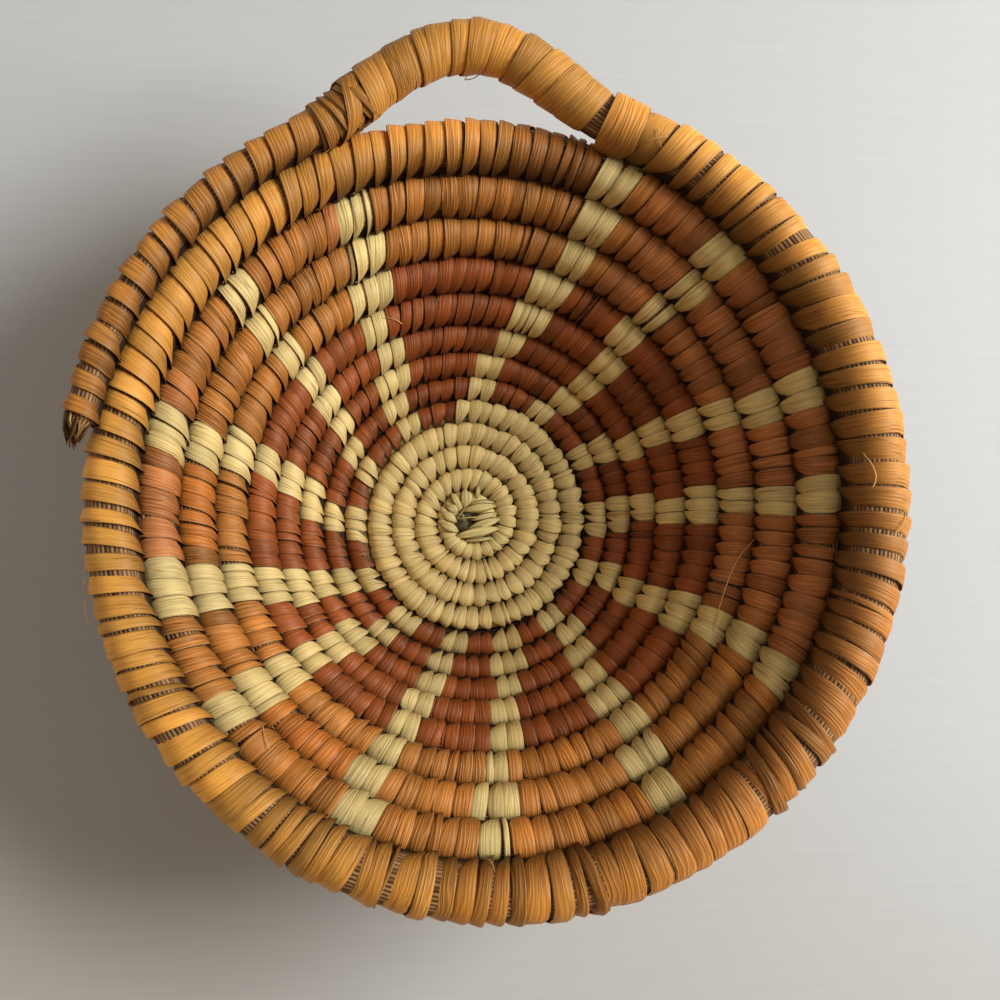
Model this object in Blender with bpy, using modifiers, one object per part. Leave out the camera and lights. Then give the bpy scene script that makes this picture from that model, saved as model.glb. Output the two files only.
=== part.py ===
"""Coiled basket: a shallow bowl sewn from one long grass bundle wound into a spiral.

The bundle starts at a knot in the centre of the base, runs outwards for thirteen and a half turns,
climbs the wall, thickens into the rim, leaves the rim once as a hanging loop and is sewn back on
beside its foot, where it ends. Leaf strips wrap the bundle all the way. Each field of the pattern
and each turn in it is wrapped with its own strips, so the wraps are separate sleeves on the bundle.
Metres, +Z up, the origin at the centre of the flat underside, +Y towards the hanging loop.
"""

import math

import bmesh
import bpy
from mathutils import Vector

# Coil thickness over its wraps, from the start knot to the tail
START_COIL = 0.0049
BASE_COIL = 0.0053
WALL_COIL = 0.0081
UPPER_COIL = 0.0108
RIM_COIL = 0.0137
LOOP_COIL = 0.0112
TAIL_COIL = 0.0082
TAIL_TIP = 0.0068

# Where along the spiral, in turns, each thickness is reached
BASE_TURN = 5.5
WALL_TURN = 8.0
UPPER_TURN = 12.5
RIM_TURNS = (12.9, 13.08)
LOOP_TURNS = (13.2, 13.27)
TAIL_TURN = 13.33
WRAP_END_TURN = 13.463
LAST_TURN = 13.472

# The spiral: where its axis stands from the knot, its first radius, how much longer than wide
# the turns are, the space between neighbouring turns, and how finely the tubes are drawn
SPIRAL_AXIS = (0.0014, 0.0009)
START_RADIUS = 0.0036
OVAL_SHARE = 0.007
COIL_GAP = 0.00058
POINTS_PER_TURN = 24
TUBE_SIDES = 6
WELD_DISTANCE = 0.00001
SHARP_EDGE = math.radians(35.0)

# The bowl's section: flat base, a bend, then a straight wall that leans a little to one side
FLAT_RADIUS = 0.028
BEND_LENGTH = 0.020
WALL_SLOPE = math.radians(46.5)
WALL_LEAN = math.radians(3.4)
STEEPEST_SIDE = math.radians(292.0)
FLAT_CUT = 0.0003
FLOOR_SIDE = 0.2

# The hanging loop: the opening under it, its place round the rim, and the strips that wrap it
LOOP_OPENING = 0.0102
LOOP_SLOPE = math.radians(12.0)
LOOP_APEX = math.radians(92.3)
LOOP_RIGHT_HALF = math.radians(21.0)
LOOP_LEFT_HALF = math.radians(25.0)
LOOP_STRIP = 0.0085
LOOP_STRIP_STEP = 0.0006
LOOP_SAMPLES = 40

# Leaf strips and fits
WRAP_THICKNESS = 0.0006
FIT = 0.0003

# The bare end of the bundle past its last wrap
FRAYED_SHARE = 0.7

# Lashings that bind the loop's feet to the turn below
LASHING_WIDTH = 0.0100
LASHING_THICKNESS = 0.0009
LASHING_FIT = 0.0005
LASHING_OPENING = math.radians(34.0)
LASHING_POINTS = 16
RIGHT_LASHING = math.radians(69.0)
LEFT_LASHING = math.radians(111.5)

# The wad of strip ends at the centre, whose underside is the origin
KNOT_RADIUS = 0.00165
KNOT_EDGE = 0.0003
KNOT_STAND = 0.0006
KNOT_SIDES = 16

# Sleeves in order along the spiral: name, first turn, last turn, colour
SLEEVES = (
    ("centre_wrap_1", 0.0, 1.25, "cream_leaf"),
    ("centre_wrap_2", 1.25, 2.25, "cream_leaf"),
    ("centre_wrap_3", 2.25, 3.25, "cream_leaf"),
    ("centre_wrap_4", 3.25, 4.27, "cream_leaf"),
    ("field_wrap_1", 4.27, 5.3, "rust_leaf"),
    ("field_wrap_2", 5.3, 6.3, "rust_leaf"),
    ("field_wrap_3", 6.3, 7.3, "rust_leaf"),
    ("field_wrap_4", 7.3, 8.3, "rust_leaf"),
    ("field_wrap_5", 8.3, 9.32, "rust_leaf"),
    ("border_wrap_1", 9.32, 10.3, "tan_leaf"),
    ("border_wrap_2", 10.3, 11.3, "tan_leaf"),
    ("border_wrap_3", 11.3, 12.24, "tan_leaf"),
    ("rim_wrap_1", 12.24, 12.72, "gold_leaf"),
    ("rim_wrap_2", 12.72, 13.207, "gold_leaf"),
    ("loop_wrap", 13.207, 13.295, "gold_leaf"),
    ("tail_wrap", 13.295, WRAP_END_TURN, "tan_leaf"),
)

# Leaf and grass colours as seen, red green blue from 0 to 255
COLOURS = {
    "cream_leaf": (205, 190, 130),
    "rust_leaf": (130, 62, 28),
    "tan_leaf": (172, 104, 50),
    "gold_leaf": (200, 144, 72),
    "bare_grass": (120, 84, 52),
}
LEAF_ROUGHNESS = 0.5


def clear_scene():
    for old in list(bpy.data.objects):
        bpy.data.objects.remove(old, do_unlink=True)


def new_collection(name):
    group = bpy.data.collections.new(name)
    bpy.context.scene.collection.children.link(group)
    return group


def linear(level):
    share = level / 255.0
    if share <= 0.04045:
        return share / 12.92
    return ((share + 0.055) / 1.055) ** 2.4


def new_material(name):
    finish = bpy.data.materials.new(name)
    finish.use_nodes = True
    shader = finish.node_tree.nodes["Principled BSDF"]
    shader.inputs["Base Color"].default_value = [linear(c) for c in COLOURS[name]] + [1.0]
    shader.inputs["Roughness"].default_value = LEAF_ROUGHNESS
    shader.inputs["Metallic"].default_value = 0.0
    return finish


# Coil thickness at any place along the spiral
def coil_thickness(turn):
    stations = (
        (0.0, START_COIL),
        (BASE_TURN, BASE_COIL),
        (WALL_TURN, WALL_COIL),
        (UPPER_TURN, UPPER_COIL),
        (RIM_TURNS[0], RIM_COIL),
        (RIM_TURNS[1], RIM_COIL),
        (LOOP_TURNS[0], LOOP_COIL),
        (LOOP_TURNS[1], LOOP_COIL),
        (TAIL_TURN, TAIL_COIL),
        (LAST_TURN, TAIL_TIP),
    )
    for (before, thin), (after, thick) in zip(stations, stations[1:]):
        if turn <= after:
            return thin + (thick - thin) * (turn - before) / (after - before)
    return TAIL_TIP


# How far the hanging loop stands off the turn that it is sewn to
def loop_rise(turn):
    angle = 2 * math.pi * (turn - math.floor(turn))
    offset = (angle - LOOP_APEX) / (LOOP_LEFT_HALF if angle > LOOP_APEX else LOOP_RIGHT_HALF)
    if turn < math.floor(LAST_TURN) or abs(offset) >= 1.0:
        return 0.0
    return LOOP_OPENING * 0.5 * (1.0 + math.cos(math.pi * offset))


# Distance of each turn's centre line from the middle of the base, measured along the bowl's section.
# The first turn opens steadily, and every later one lies against the turn before it.
def section_distance(turn):
    if turn < 1.0:
        return START_RADIUS + (START_COIL + COIL_GAP) * turn
    below = turn - 1.0
    touching = 0.5 * (coil_thickness(turn) + coil_thickness(below)) + COIL_GAP
    return section_distance(below) + touching


def wall_angle(distance, side):
    slope = WALL_SLOPE + WALL_LEAN * math.cos(side - STEEPEST_SIDE)
    share = min(max((distance - FLAT_RADIUS) / BEND_LENGTH, 0.0), 1.0)
    return slope, slope * share


# Radius and height above the base of a point on the bowl's section
def section_point(distance, side):
    slope, angle = wall_angle(distance, side)
    bend_radius = BEND_LENGTH / slope
    radius = min(distance, FLAT_RADIUS) + bend_radius * math.sin(angle)
    height = bend_radius * (1.0 - math.cos(angle))
    past = max(distance - FLAT_RADIUS - BEND_LENGTH, 0.0)
    return radius + past * math.cos(slope), height + past * math.sin(slope)


def base_height():
    return 0.5 * BASE_COIL * math.cos(math.pi / TUBE_SIDES) - FLAT_CUT


# One place on the centre line: its position, the wall's angle there and the coil's radius
def centre_line(turn):
    side = 2 * math.pi * turn
    distance = section_distance(turn)
    radius, height = section_point(distance, side)
    radius += loop_rise(turn) * math.cos(LOOP_SLOPE)
    height += loop_rise(turn) * math.sin(LOOP_SLOPE)
    across = SPIRAL_AXIS[0] + (1.0 - OVAL_SHARE) * radius * math.cos(side)
    along = SPIRAL_AXIS[1] + (1.0 + OVAL_SHARE) * radius * math.sin(side)
    place = Vector((across, along, height + base_height()))
    return place, wall_angle(distance, side)[1], 0.5 * coil_thickness(turn)


# Turns at which the centre line has a corner: evenly spaced, and closer together round the loop
def corner_turns():
    turns = [i / POINTS_PER_TURN for i in range(math.floor(LAST_TURN * POINTS_PER_TURN) + 1)]
    turns.append(LAST_TURN)
    top = math.floor(LAST_TURN)
    first = top + (LOOP_APEX - LOOP_RIGHT_HALF) / (2 * math.pi)
    last = top + (LOOP_APEX + LOOP_LEFT_HALF) / (2 * math.pi)
    kept = [t for t in turns if t < first or t > last]
    steps = 2 * round(loop_length(first, last) / LOOP_STRIP)
    kept += [first + (last - first) * i / steps for i in range(steps + 1)]
    return sorted(kept)


def loop_length(first, last):
    stride = (last - first) / LOOP_SAMPLES
    samples = [centre_line(first + stride * i)[0] for i in range(LOOP_SAMPLES + 1)]
    return sum((b - a).length for a, b in zip(samples, samples[1:]))


# A place between two corners lies on the straight run that joins them
def on_run(turn, corners):
    after = next(i for i, t in enumerate(corners) if t >= turn)
    if corners[after] == turn:
        return centre_line(turn)
    before, behind = corners[after], corners[after - 1]
    share = (turn - behind) / (before - behind)
    place_a, angle_a, radius_a = centre_line(behind)
    place_b, angle_b, radius_b = centre_line(before)
    return (
        place_a.lerp(place_b, share),
        angle_a + (angle_b - angle_a) * share,
        radius_a + (radius_b - radius_a) * share,
    )


def metres_per_turn(turn):
    step = 0.001
    return (centre_line(turn + step)[0] - centre_line(turn)[0]).length / step


# A sleeve ends square, in the middle of a straight run, and half a fit short of its neighbour
def sleeve_end(turn, corners, backwards):
    if turn <= corners[0]:
        return corners[0]
    after = next(i for i, t in enumerate(corners) if t >= turn)
    middle = 0.5 * (corners[after - 1] + corners[after])
    return middle + (-0.5 if backwards else 0.5) * FIT / metres_per_turn(middle)


def all_turns(corners):
    turns = set(corners)
    for _, first, last, _ in SLEEVES:
        turns.update((sleeve_end(first, corners, False), sleeve_end(last, corners, True)))
    return sorted(turns)


def core_radius(coil_radius):
    return coil_radius - (WRAP_THICKNESS + FIT) / math.cos(math.pi / TUBE_SIDES)


# A bevelled curve along the centre line, turned into a mesh
def tube_mesh(name, stops, caps):
    curve = bpy.data.curves.new(name + "_line", "CURVE")
    curve.dimensions = "3D"
    curve.twist_mode = "Z_UP"
    curve.bevel_depth = 1.0
    curve.bevel_resolution = (TUBE_SIDES - 4) // 2
    curve.use_fill_caps = caps
    line = curve.splines.new("POLY")
    line.points.add(len(stops) - 1)
    for point, (place, angle, radius) in zip(line.points, stops):
        point.co = (*place, 1.0)
        point.radius = radius
        point.tilt = angle
    guide = bpy.data.objects.new(name + "_line", curve)
    bpy.context.scene.collection.objects.link(guide)
    bpy.context.view_layer.update()
    shape = bpy.data.meshes.new_from_object(guide.evaluated_get(bpy.context.evaluated_depsgraph_get()))
    bpy.data.objects.remove(guide, do_unlink=True)
    bpy.data.curves.remove(curve)
    welded = bmesh.new()
    welded.from_mesh(shape)
    bmesh.ops.remove_doubles(welded, verts=welded.verts, dist=WELD_DISTANCE)
    welded.to_mesh(shape)
    welded.free()
    return shape


def add_part(group, name, shape, finish):
    shape.name = name
    part = bpy.data.objects.new(name, shape)
    shape.materials.clear()
    shape.materials.append(finish)
    shape.shade_smooth()
    shape.set_sharp_from_angle(angle=SHARP_EDGE)
    group.objects.link(part)
    return part


def add_wall(part, thickness, offset):
    wall = part.modifiers.new("wall", "SOLIDIFY")
    wall.thickness = thickness
    wall.offset = offset
    wall.use_even_offset = True


def add_flat_cut(part, cutter):
    flat = part.modifiers.new("flat_underside", "BOOLEAN")
    flat.operation = "DIFFERENCE"
    flat.solver = "EXACT"
    flat.object = cutter


# The floor under the base, which trims the turns that the basket stands on
def make_floor_cutter(group):
    block = bmesh.new()
    bmesh.ops.create_cube(block, size=FLOOR_SIDE)
    bmesh.ops.translate(block, verts=block.verts, vec=(0.0, 0.0, -0.5 * FLOOR_SIDE))
    shape = bpy.data.meshes.new("floor_cutter")
    block.to_mesh(shape)
    block.free()
    cutter = bpy.data.objects.new("floor_cutter", shape)
    group.objects.link(cutter)
    cutter.hide_render = True
    cutter.display_type = "WIRE"
    return cutter


def make_foundation(group, corners, finish):
    stops = []
    for turn in all_turns(corners):
        place, angle, radius = on_run(turn, corners)
        inner = core_radius(radius)
        if turn > WRAP_END_TURN:
            inner *= FRAYED_SHARE
        stops.append((place, angle, inner))
    return add_part(group, "foundation_bundle", tube_mesh("foundation_bundle", stops, True), finish)


# Strips on the loop overlap like tiles: each starts low and ends high
def strip_step(index):
    return LOOP_STRIP_STEP * (index % 2)


def make_sleeve(group, name, first, last, corners, finish, ridged):
    start = sleeve_end(first, corners, False)
    end = sleeve_end(last, corners, True)
    turns = [start] + [t for t in corners if start < t < end] + [end]
    stops = []
    for index, turn in enumerate(turns):
        place, angle, radius = on_run(turn, corners)
        stops.append((place, angle, radius + (strip_step(index) if ridged else 0.0)))
    sleeve = add_part(group, name, tube_mesh(name, stops, False), finish)
    add_wall(sleeve, WRAP_THICKNESS, -1.0)
    return sleeve


# Section round two touching turns, open where it meets the turn inside them
def lashing_section(turn, corners):
    angle = 2 * math.pi * turn
    upper, _, upper_radius = on_run(turn, corners)
    lower, _, lower_radius = on_run(turn - 1, corners)
    along = (upper - lower).normalized()
    round_axis = Vector((-math.sin(angle), math.cos(angle), 0.0))
    across = round_axis.cross(along).normalized()
    spread = (upper - lower).length
    turn_in = math.asin((upper_radius - lower_radius) / spread)
    half = 0.5 * math.pi + turn_in
    end = math.pi - LASHING_OPENING
    points = []
    for i in range(LASHING_POINTS // 2):
        share = i / (LASHING_POINTS // 2 - 1)
        points.append((lower, lower_radius, end - (end - half) * share))
    for i in range(LASHING_POINTS):
        share = i / (LASHING_POINTS - 1)
        points.append((upper, upper_radius, half - 2 * half * share))
    for i in range(LASHING_POINTS // 2):
        share = i / (LASHING_POINTS // 2 - 1)
        points.append((lower, lower_radius, -half - (end - half) * share))
    return [
        centre + (radius + LASHING_FIT) * (math.cos(bearing) * along + math.sin(bearing) * across)
        for centre, radius, bearing in points
    ]


def make_lashing(group, name, angle, corners, finish):
    middle = math.floor(LAST_TURN) + angle / (2 * math.pi)
    half = 0.5 * LASHING_WIDTH / metres_per_turn(middle)
    bends = set(corners) | {t + 1 for t in corners}
    turns = [middle - half] + sorted(t for t in bends if abs(t - middle) < half) + [middle + half]
    band = bmesh.new()
    rows = [[band.verts.new(point) for point in lashing_section(turn, corners)] for turn in turns]
    for row, following in zip(rows, rows[1:]):
        for i in range(len(row) - 1):
            band.faces.new((row[i], row[i + 1], following[i + 1], following[i]))
    bmesh.ops.recalc_face_normals(band, faces=band.faces)
    shape = bpy.data.meshes.new(name)
    band.to_mesh(shape)
    band.free()
    lashing = add_part(group, name, shape, finish)
    add_wall(lashing, LASHING_THICKNESS, 1.0)
    return lashing


def make_knot(group, finish):
    height = 2 * base_height() + KNOT_STAND
    wad = bmesh.new()
    bmesh.ops.create_cone(
        wad, cap_ends=True, segments=KNOT_SIDES, radius1=KNOT_RADIUS, radius2=KNOT_RADIUS, depth=height
    )
    bmesh.ops.translate(wad, verts=wad.verts, vec=(0.0, 0.0, 0.5 * height))
    shape = bpy.data.meshes.new("start_knot")
    wad.to_mesh(shape)
    wad.free()
    knot = add_part(group, "start_knot", shape, finish)
    edge = knot.modifiers.new("rounded_edges", "BEVEL")
    edge.width = KNOT_EDGE
    edge.segments = 2
    edge.limit_method = "ANGLE"
    return knot


# Least distance between the wrapped coil and itself, over points at least half a turn apart
def least_gap(corners):
    stops = [(turn, *centre_line(turn)) for turn in corners]
    least = math.inf
    for i, (turn_a, place_a, _, radius_a) in enumerate(stops):
        for turn_b, place_b, _, radius_b in stops[i + 1:]:
            if turn_b - turn_a > 0.5:
                least = min(least, (place_b - place_a).length - radius_a - radius_b)
    return least


clear_scene()
basket = new_collection("coiled_basket")
cutters = new_collection("cutters")
finishes = {name: new_material(name) for name in COLOURS}
floor_cutter = make_floor_cutter(cutters)
spiral_corners = corner_turns()

make_foundation(basket, spiral_corners, finishes["bare_grass"])
make_knot(basket, finishes["cream_leaf"])
for sleeve_name, first_turn, last_turn, colour in SLEEVES:
    wrap = make_sleeve(
        basket, sleeve_name, first_turn, last_turn, spiral_corners, finishes[colour],
        ridged=sleeve_name == "loop_wrap",
    )
    if section_distance(first_turn) < FLAT_RADIUS + 0.5 * BEND_LENGTH:
        add_flat_cut(wrap, floor_cutter)
make_lashing(basket, "loop_lashing_right", RIGHT_LASHING, spiral_corners, finishes["gold_leaf"])
make_lashing(basket, "loop_lashing_left", LEFT_LASHING, spiral_corners, finishes["tan_leaf"])

print(f"least gap of the coil to itself: {1000 * least_gap(spiral_corners):.2f} mm")
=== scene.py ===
import math

import bpy
import numpy as np
from mathutils import Matrix, Vector


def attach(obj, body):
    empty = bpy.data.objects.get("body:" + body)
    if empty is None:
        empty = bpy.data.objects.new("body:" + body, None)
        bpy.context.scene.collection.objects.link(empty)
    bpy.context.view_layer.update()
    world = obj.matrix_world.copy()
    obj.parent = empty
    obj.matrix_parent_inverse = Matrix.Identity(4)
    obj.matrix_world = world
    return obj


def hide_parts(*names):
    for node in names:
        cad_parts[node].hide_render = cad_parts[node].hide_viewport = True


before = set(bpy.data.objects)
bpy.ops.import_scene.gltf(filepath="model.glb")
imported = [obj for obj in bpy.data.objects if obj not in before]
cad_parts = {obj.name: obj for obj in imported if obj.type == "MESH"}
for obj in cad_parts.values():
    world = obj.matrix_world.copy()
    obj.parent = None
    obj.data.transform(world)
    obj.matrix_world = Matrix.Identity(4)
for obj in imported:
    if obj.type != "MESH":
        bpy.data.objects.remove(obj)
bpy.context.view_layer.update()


# The view. The basket lies flat on a table and is seen from almost straight above, with the eye
# a little towards its lower left, near enough for the rim to look wider than the base.
SENSOR_WIDTH = 36.0
FOCAL_LENGTH = 1.3
EYE_DISTANCE = 0.325
EYE_TILTS = (math.radians(6.3), math.radians(-8.1))
MIDDLE_IN_VIEW = (-0.0352, -0.0252)

lean_x, lean_y = EYE_TILTS
view_right = Vector(
    (math.cos(lean_y), math.sin(lean_y) * math.sin(lean_x), -math.sin(lean_y) * math.cos(lean_x))
)
view_up = Vector((0.0, math.cos(lean_x), math.sin(lean_x)))
view_back = view_right.cross(view_up)
sideways, upwards = (share / FOCAL_LENGTH * EYE_DISTANCE for share in MIDDLE_IN_VIEW)
eye = view_back * EYE_DISTANCE - view_right * sideways - view_up * upwards
camera = bpy.data.objects.new("camera", bpy.data.cameras.new("camera"))
camera.data.sensor_width = SENSOR_WIDTH
camera.data.lens = SENSOR_WIDTH * FOCAL_LENGTH
camera.data.clip_start = 0.01
turned = Matrix((view_right, view_up, view_back)).transposed().to_4x4()
camera.matrix_world = Matrix.Translation(eye) @ turned
bpy.context.scene.collection.objects.link(camera)
bpy.context.scene.camera = camera


# The coil. One bundle of dry grass stems, thickening from 5 to 14 mm, is wound outwards from the
# middle of the base, up the wall and into the rim. It leaves the rim once as the hanging loop,
# comes back outside its own last turn and ends there, bare and frayed.
START_COIL = 0.0049
BASE_COIL = 0.0053
WALL_COIL = 0.0081
UPPER_COIL = 0.0108
RIM_COIL = 0.0137
LOOP_COIL = 0.0112
TAIL_COIL = 0.0082
TAIL_TIP = 0.0068
THICKNESS_STATIONS = (
    (0.0, START_COIL), (5.5, BASE_COIL), (8.0, WALL_COIL), (12.5, UPPER_COIL), (12.9, RIM_COIL),
    (13.08, RIM_COIL), (13.2, LOOP_COIL), (13.27, LOOP_COIL), (13.33, TAIL_COIL), (13.472, TAIL_TIP),
)
LAST_TURN = 13.472
WRAP_END_TURN = 13.4715
SPIRAL_AXIS = (0.0014, 0.0009)
START_RADIUS = 0.0036
OVAL_SHARE = 0.007
COIL_GAP = 0.00058
FLAT_RADIUS = 0.028
BEND_LENGTH = 0.020
WALL_SLOPE = math.radians(46.5)
WALL_LEAN = math.radians(3.4)
STEEPEST_SIDE = math.radians(292.0)
# How far the first turns' middle lies above the floor, with a little cut off flat under them
FLAT_CUT = 0.0003
FLOOR_RISE = 0.5 * BASE_COIL * math.cos(math.pi / 6) - FLAT_CUT
LOOP_OPENING = 0.0102
LOOP_SLOPE = math.radians(12.0)
LOOP_APEX = math.radians(92.3)
LOOP_RIGHT_HALF = math.radians(21.0)
LOOP_LEFT_HALF = math.radians(25.0)
# Where a turn has the one before it at its side, and where it stands free
TOUCH_STATIONS = ((0.7, 0.0), (1.0, 1.0), (13.19, 1.0), (13.212, 0.0), (13.308, 0.0), (13.33, 1.0))
LINE_POINTS_PER_TURN = 120


def between(stations, turn):
    return float(np.interp(turn, [t for t, _ in stations], [v for _, v in stations]))


def coil_thickness(turn):
    return between(THICKNESS_STATIONS, turn)


# How far the loop stands off the place where a plain turn would lie
def loop_rise(turn):
    angle = 2 * math.pi * (turn - math.floor(turn))
    offset = (angle - LOOP_APEX) / (LOOP_LEFT_HALF if angle > LOOP_APEX else LOOP_RIGHT_HALF)
    if turn < math.floor(LAST_TURN) or abs(offset) >= 1.0:
        return 0.0
    return LOOP_OPENING * 0.5 * (1.0 + math.cos(math.pi * offset))


# Each turn lies against the one before it, measured along the bowl's section
def section_distance(turn):
    if turn < 1.0:
        return START_RADIUS + (START_COIL + COIL_GAP) * turn
    touching = 0.5 * (coil_thickness(turn) + coil_thickness(turn - 1.0)) + COIL_GAP
    return section_distance(turn - 1.0) + touching


# Place of the coil's middle, the wall's angle there and the coil's radius
def coil_place(turn):
    side = 2 * math.pi * turn
    distance = section_distance(turn)
    slope = WALL_SLOPE + WALL_LEAN * math.cos(side - STEEPEST_SIDE)
    angle = slope * min(max((distance - FLAT_RADIUS) / BEND_LENGTH, 0.0), 1.0)
    past = max(distance - FLAT_RADIUS - BEND_LENGTH, 0.0)
    radius = min(distance, FLAT_RADIUS) + BEND_LENGTH / slope * math.sin(angle) + past * math.cos(slope)
    height = BEND_LENGTH / slope * (1.0 - math.cos(angle)) + past * math.sin(slope)
    radius += loop_rise(turn) * math.cos(LOOP_SLOPE)
    height += loop_rise(turn) * math.sin(LOOP_SLOPE)
    height += FLOOR_RISE
    across = SPIRAL_AXIS[0] + (1.0 - OVAL_SHARE) * radius * math.cos(side)
    along = SPIRAL_AXIS[1] + (1.0 + OVAL_SHARE) * radius * math.sin(side)
    return (across, along, height), angle, 0.5 * coil_thickness(turn)


def unit(rows):
    return rows / np.linalg.norm(rows, axis=-1, keepdims=True)


# The coil's line as a chain of points that carry its radius and the direction up the wall
line_turns = np.linspace(0.0, LAST_TURN, round(LAST_TURN * LINE_POINTS_PER_TURN) + 1)
line_stops = [coil_place(turn) for turn in line_turns]
line_points = np.array([place for place, _, _ in line_stops])
line_angles = np.array([angle for _, angle, _ in line_stops])[:, None]
line_radii = np.array([radius for _, _, radius in line_stops])
line_reach = np.concatenate(([0.0], np.cumsum(np.linalg.norm(np.diff(line_points, axis=0), axis=1))))
line_ahead = unit(np.gradient(line_points, axis=0))
line_level = unit(np.cross(line_ahead, (0.0, 0.0, 1.0)))
line_upward = np.cross(line_level, line_ahead)
line_outwards = np.cos(line_angles) * line_level + np.sin(line_angles) * line_upward


def along_coil(turn):
    return float(np.interp(turn, line_turns, line_reach))


def turn_at(reach):
    return float(np.interp(reach, line_reach, line_turns))


def write_attribute(shape, name, kind, values):
    field = {"FLOAT": "value", "FLOAT_VECTOR": "vector", "FLOAT_COLOR": "color"}[kind]
    shape.attributes.new(name, kind, "POINT").data.foreach_set(field, np.asarray(values, float).ravel())


def link_piece(name, shape):
    piece = bpy.data.objects.new(name, shape)
    bpy.context.scene.collection.objects.link(piece)
    return piece


line_shape = bpy.data.meshes.new("coil_line")
line_shape.from_pydata(line_points.tolist(), [(i, i + 1) for i in range(len(line_points) - 1)], [])
write_attribute(line_shape, "outwards", "FLOAT_VECTOR", line_outwards)
write_attribute(line_shape, "coil_radius", "FLOAT", line_radii)
write_attribute(line_shape, "touching", "FLOAT", [between(TOUCH_STATIONS, turn) for turn in line_turns])
coil_line = link_piece("coil_line", line_shape)


# A socket that can be reckoned with: an expression on readings adds its Math nodes to the tree
class Reading:
    def __init__(self, bench, socket):
        self.bench = bench
        self.socket = socket

    def math(self, operation, *others):
        sockets = dict(enumerate((self, *others)))
        return self.bench.read("ShaderNodeMath", {"operation": operation}, sockets)

    def __add__(self, other):
        return self.math("ADD", other)

    __radd__ = __add__

    def __sub__(self, other):
        return self.math("SUBTRACT", other)

    def __rsub__(self, other):
        return (self * -1.0).math("ADD", other)

    def __mul__(self, other):
        return self.math("MULTIPLY", other)

    __rmul__ = __mul__

    def __truediv__(self, other):
        return self.math("DIVIDE", other)

    def __rtruediv__(self, other):
        return (self ** -1.0) * other

    def __gt__(self, other):
        return self.math("GREATER_THAN", other)

    def __lt__(self, other):
        return self.math("LESS_THAN", other)

    def __neg__(self):
        return self * -1.0

    def __abs__(self):
        return self.math("ABSOLUTE")

    def __pow__(self, other):
        return self.math("POWER", other)

    def clipped(self, low=0.0, high=1.0):
        return self.math("MAXIMUM", low).math("MINIMUM", high)

    # Rises from 0 at the start to 1, by so much for each unit
    def above(self, start, steepness):
        return ((self - start) * steepness).clipped()

    # 1 at the place, falling off on both sides of it by so much for each unit
    def near(self, place, steepness):
        return (1.0 - abs(self - place) * steepness).clipped()


# A node tree under construction. Every node that isn't plain arithmetic comes from node().
class Bench:
    def __init__(self, tree):
        self.tree = tree

    def node(self, kind, settings=None, sockets=None):
        made = self.tree.nodes.new(kind)
        for key, value in (settings or {}).items():
            if key == "stops":
                for _ in range(len(value) - 2):
                    made.color_ramp.elements.new(0.5)
                for stop, (place, colour) in zip(made.color_ramp.elements, value):
                    stop.position = place
                    stop.color = colour
            else:
                setattr(made, key, value)
        self.fill(made, sockets or {})
        return made

    def fill(self, made, sockets):
        for key, value in sockets.items():
            slot = made.inputs[key] if isinstance(key, int) else self.open_socket(made.inputs, key)
            if isinstance(value, Reading):
                self.tree.links.new(value.socket, slot)
            else:
                slot.default_value = value

    def open_socket(self, sockets, name):
        return next(s for s in sockets if s.name == name and s.enabled)

    def out(self, made, name=None):
        if name:
            return Reading(self, self.open_socket(made.outputs, name))
        return Reading(self, next(s for s in made.outputs if s.enabled))

    def read(self, kind, settings=None, sockets=None, name=None):
        return self.out(self.node(kind, settings, sockets), name)

    def attribute(self, name, kind="FLOAT"):
        settings = {"data_type": kind}
        return self.read("GeometryNodeInputNamedAttribute", settings, {"Name": name}, "Attribute")

    def surface(self, name, output="Fac"):
        return self.read("ShaderNodeAttribute", {"attribute_name": name}, name=output)

    def store(self, shape, name, value, kind="FLOAT"):
        sockets = {"Geometry": shape, "Name": name, "Value": value}
        settings = {"data_type": kind, "domain": "POINT"}
        return self.read("GeometryNodeStoreNamedAttribute", settings, sockets, "Geometry")

    def apart(self, vector):
        made = self.node("ShaderNodeSeparateXYZ", sockets={"Vector": vector})
        return [self.out(made, axis) for axis in "XYZ"]

    def joined(self, x, y, z):
        return self.read("ShaderNodeCombineXYZ", sockets={"X": x, "Y": y, "Z": z})

    def scaled(self, vector, share):
        return self.read("ShaderNodeVectorMath", {"operation": "SCALE"}, {"Vector": vector, "Scale": share})

    def vectors(self, operation, first, second):
        return self.read("ShaderNodeVectorMath", {"operation": operation}, {0: first, 1: second})

    def blend(self, factor, first, second):
        sockets = {"Factor": factor, 6: first, 7: second}
        return self.read("ShaderNodeMix", {"data_type": "RGBA"}, sockets, "Result")

    def noise(self, x, y, z, detail=2.0):
        sockets = {"Vector": self.joined(x, y, z), "Scale": 1.0, "Detail": detail}
        return self.read("ShaderNodeTexNoise", sockets=sockets)

    def bump(self, depth, height):
        return self.read("ShaderNodeBump", sockets={"Strength": 1.0, "Distance": depth, "Height": height})


def geometry_bench(name, inputs):
    tree = bpy.data.node_groups.new(name, "GeometryNodeTree")
    tree.interface.new_socket(name="Geometry", in_out="OUTPUT", socket_type="NodeSocketGeometry")
    tree.interface.new_socket(name="Geometry", in_out="INPUT", socket_type="NodeSocketGeometry")
    for kind, labels in inputs.items():
        for label in labels:
            tree.interface.new_socket(name=label, in_out="INPUT", socket_type="NodeSocket" + kind)
    bench = Bench(tree)
    given = {s.name: Reading(bench, s) for s in bench.node("NodeGroupInput").outputs if s.name}
    return bench, given


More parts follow.
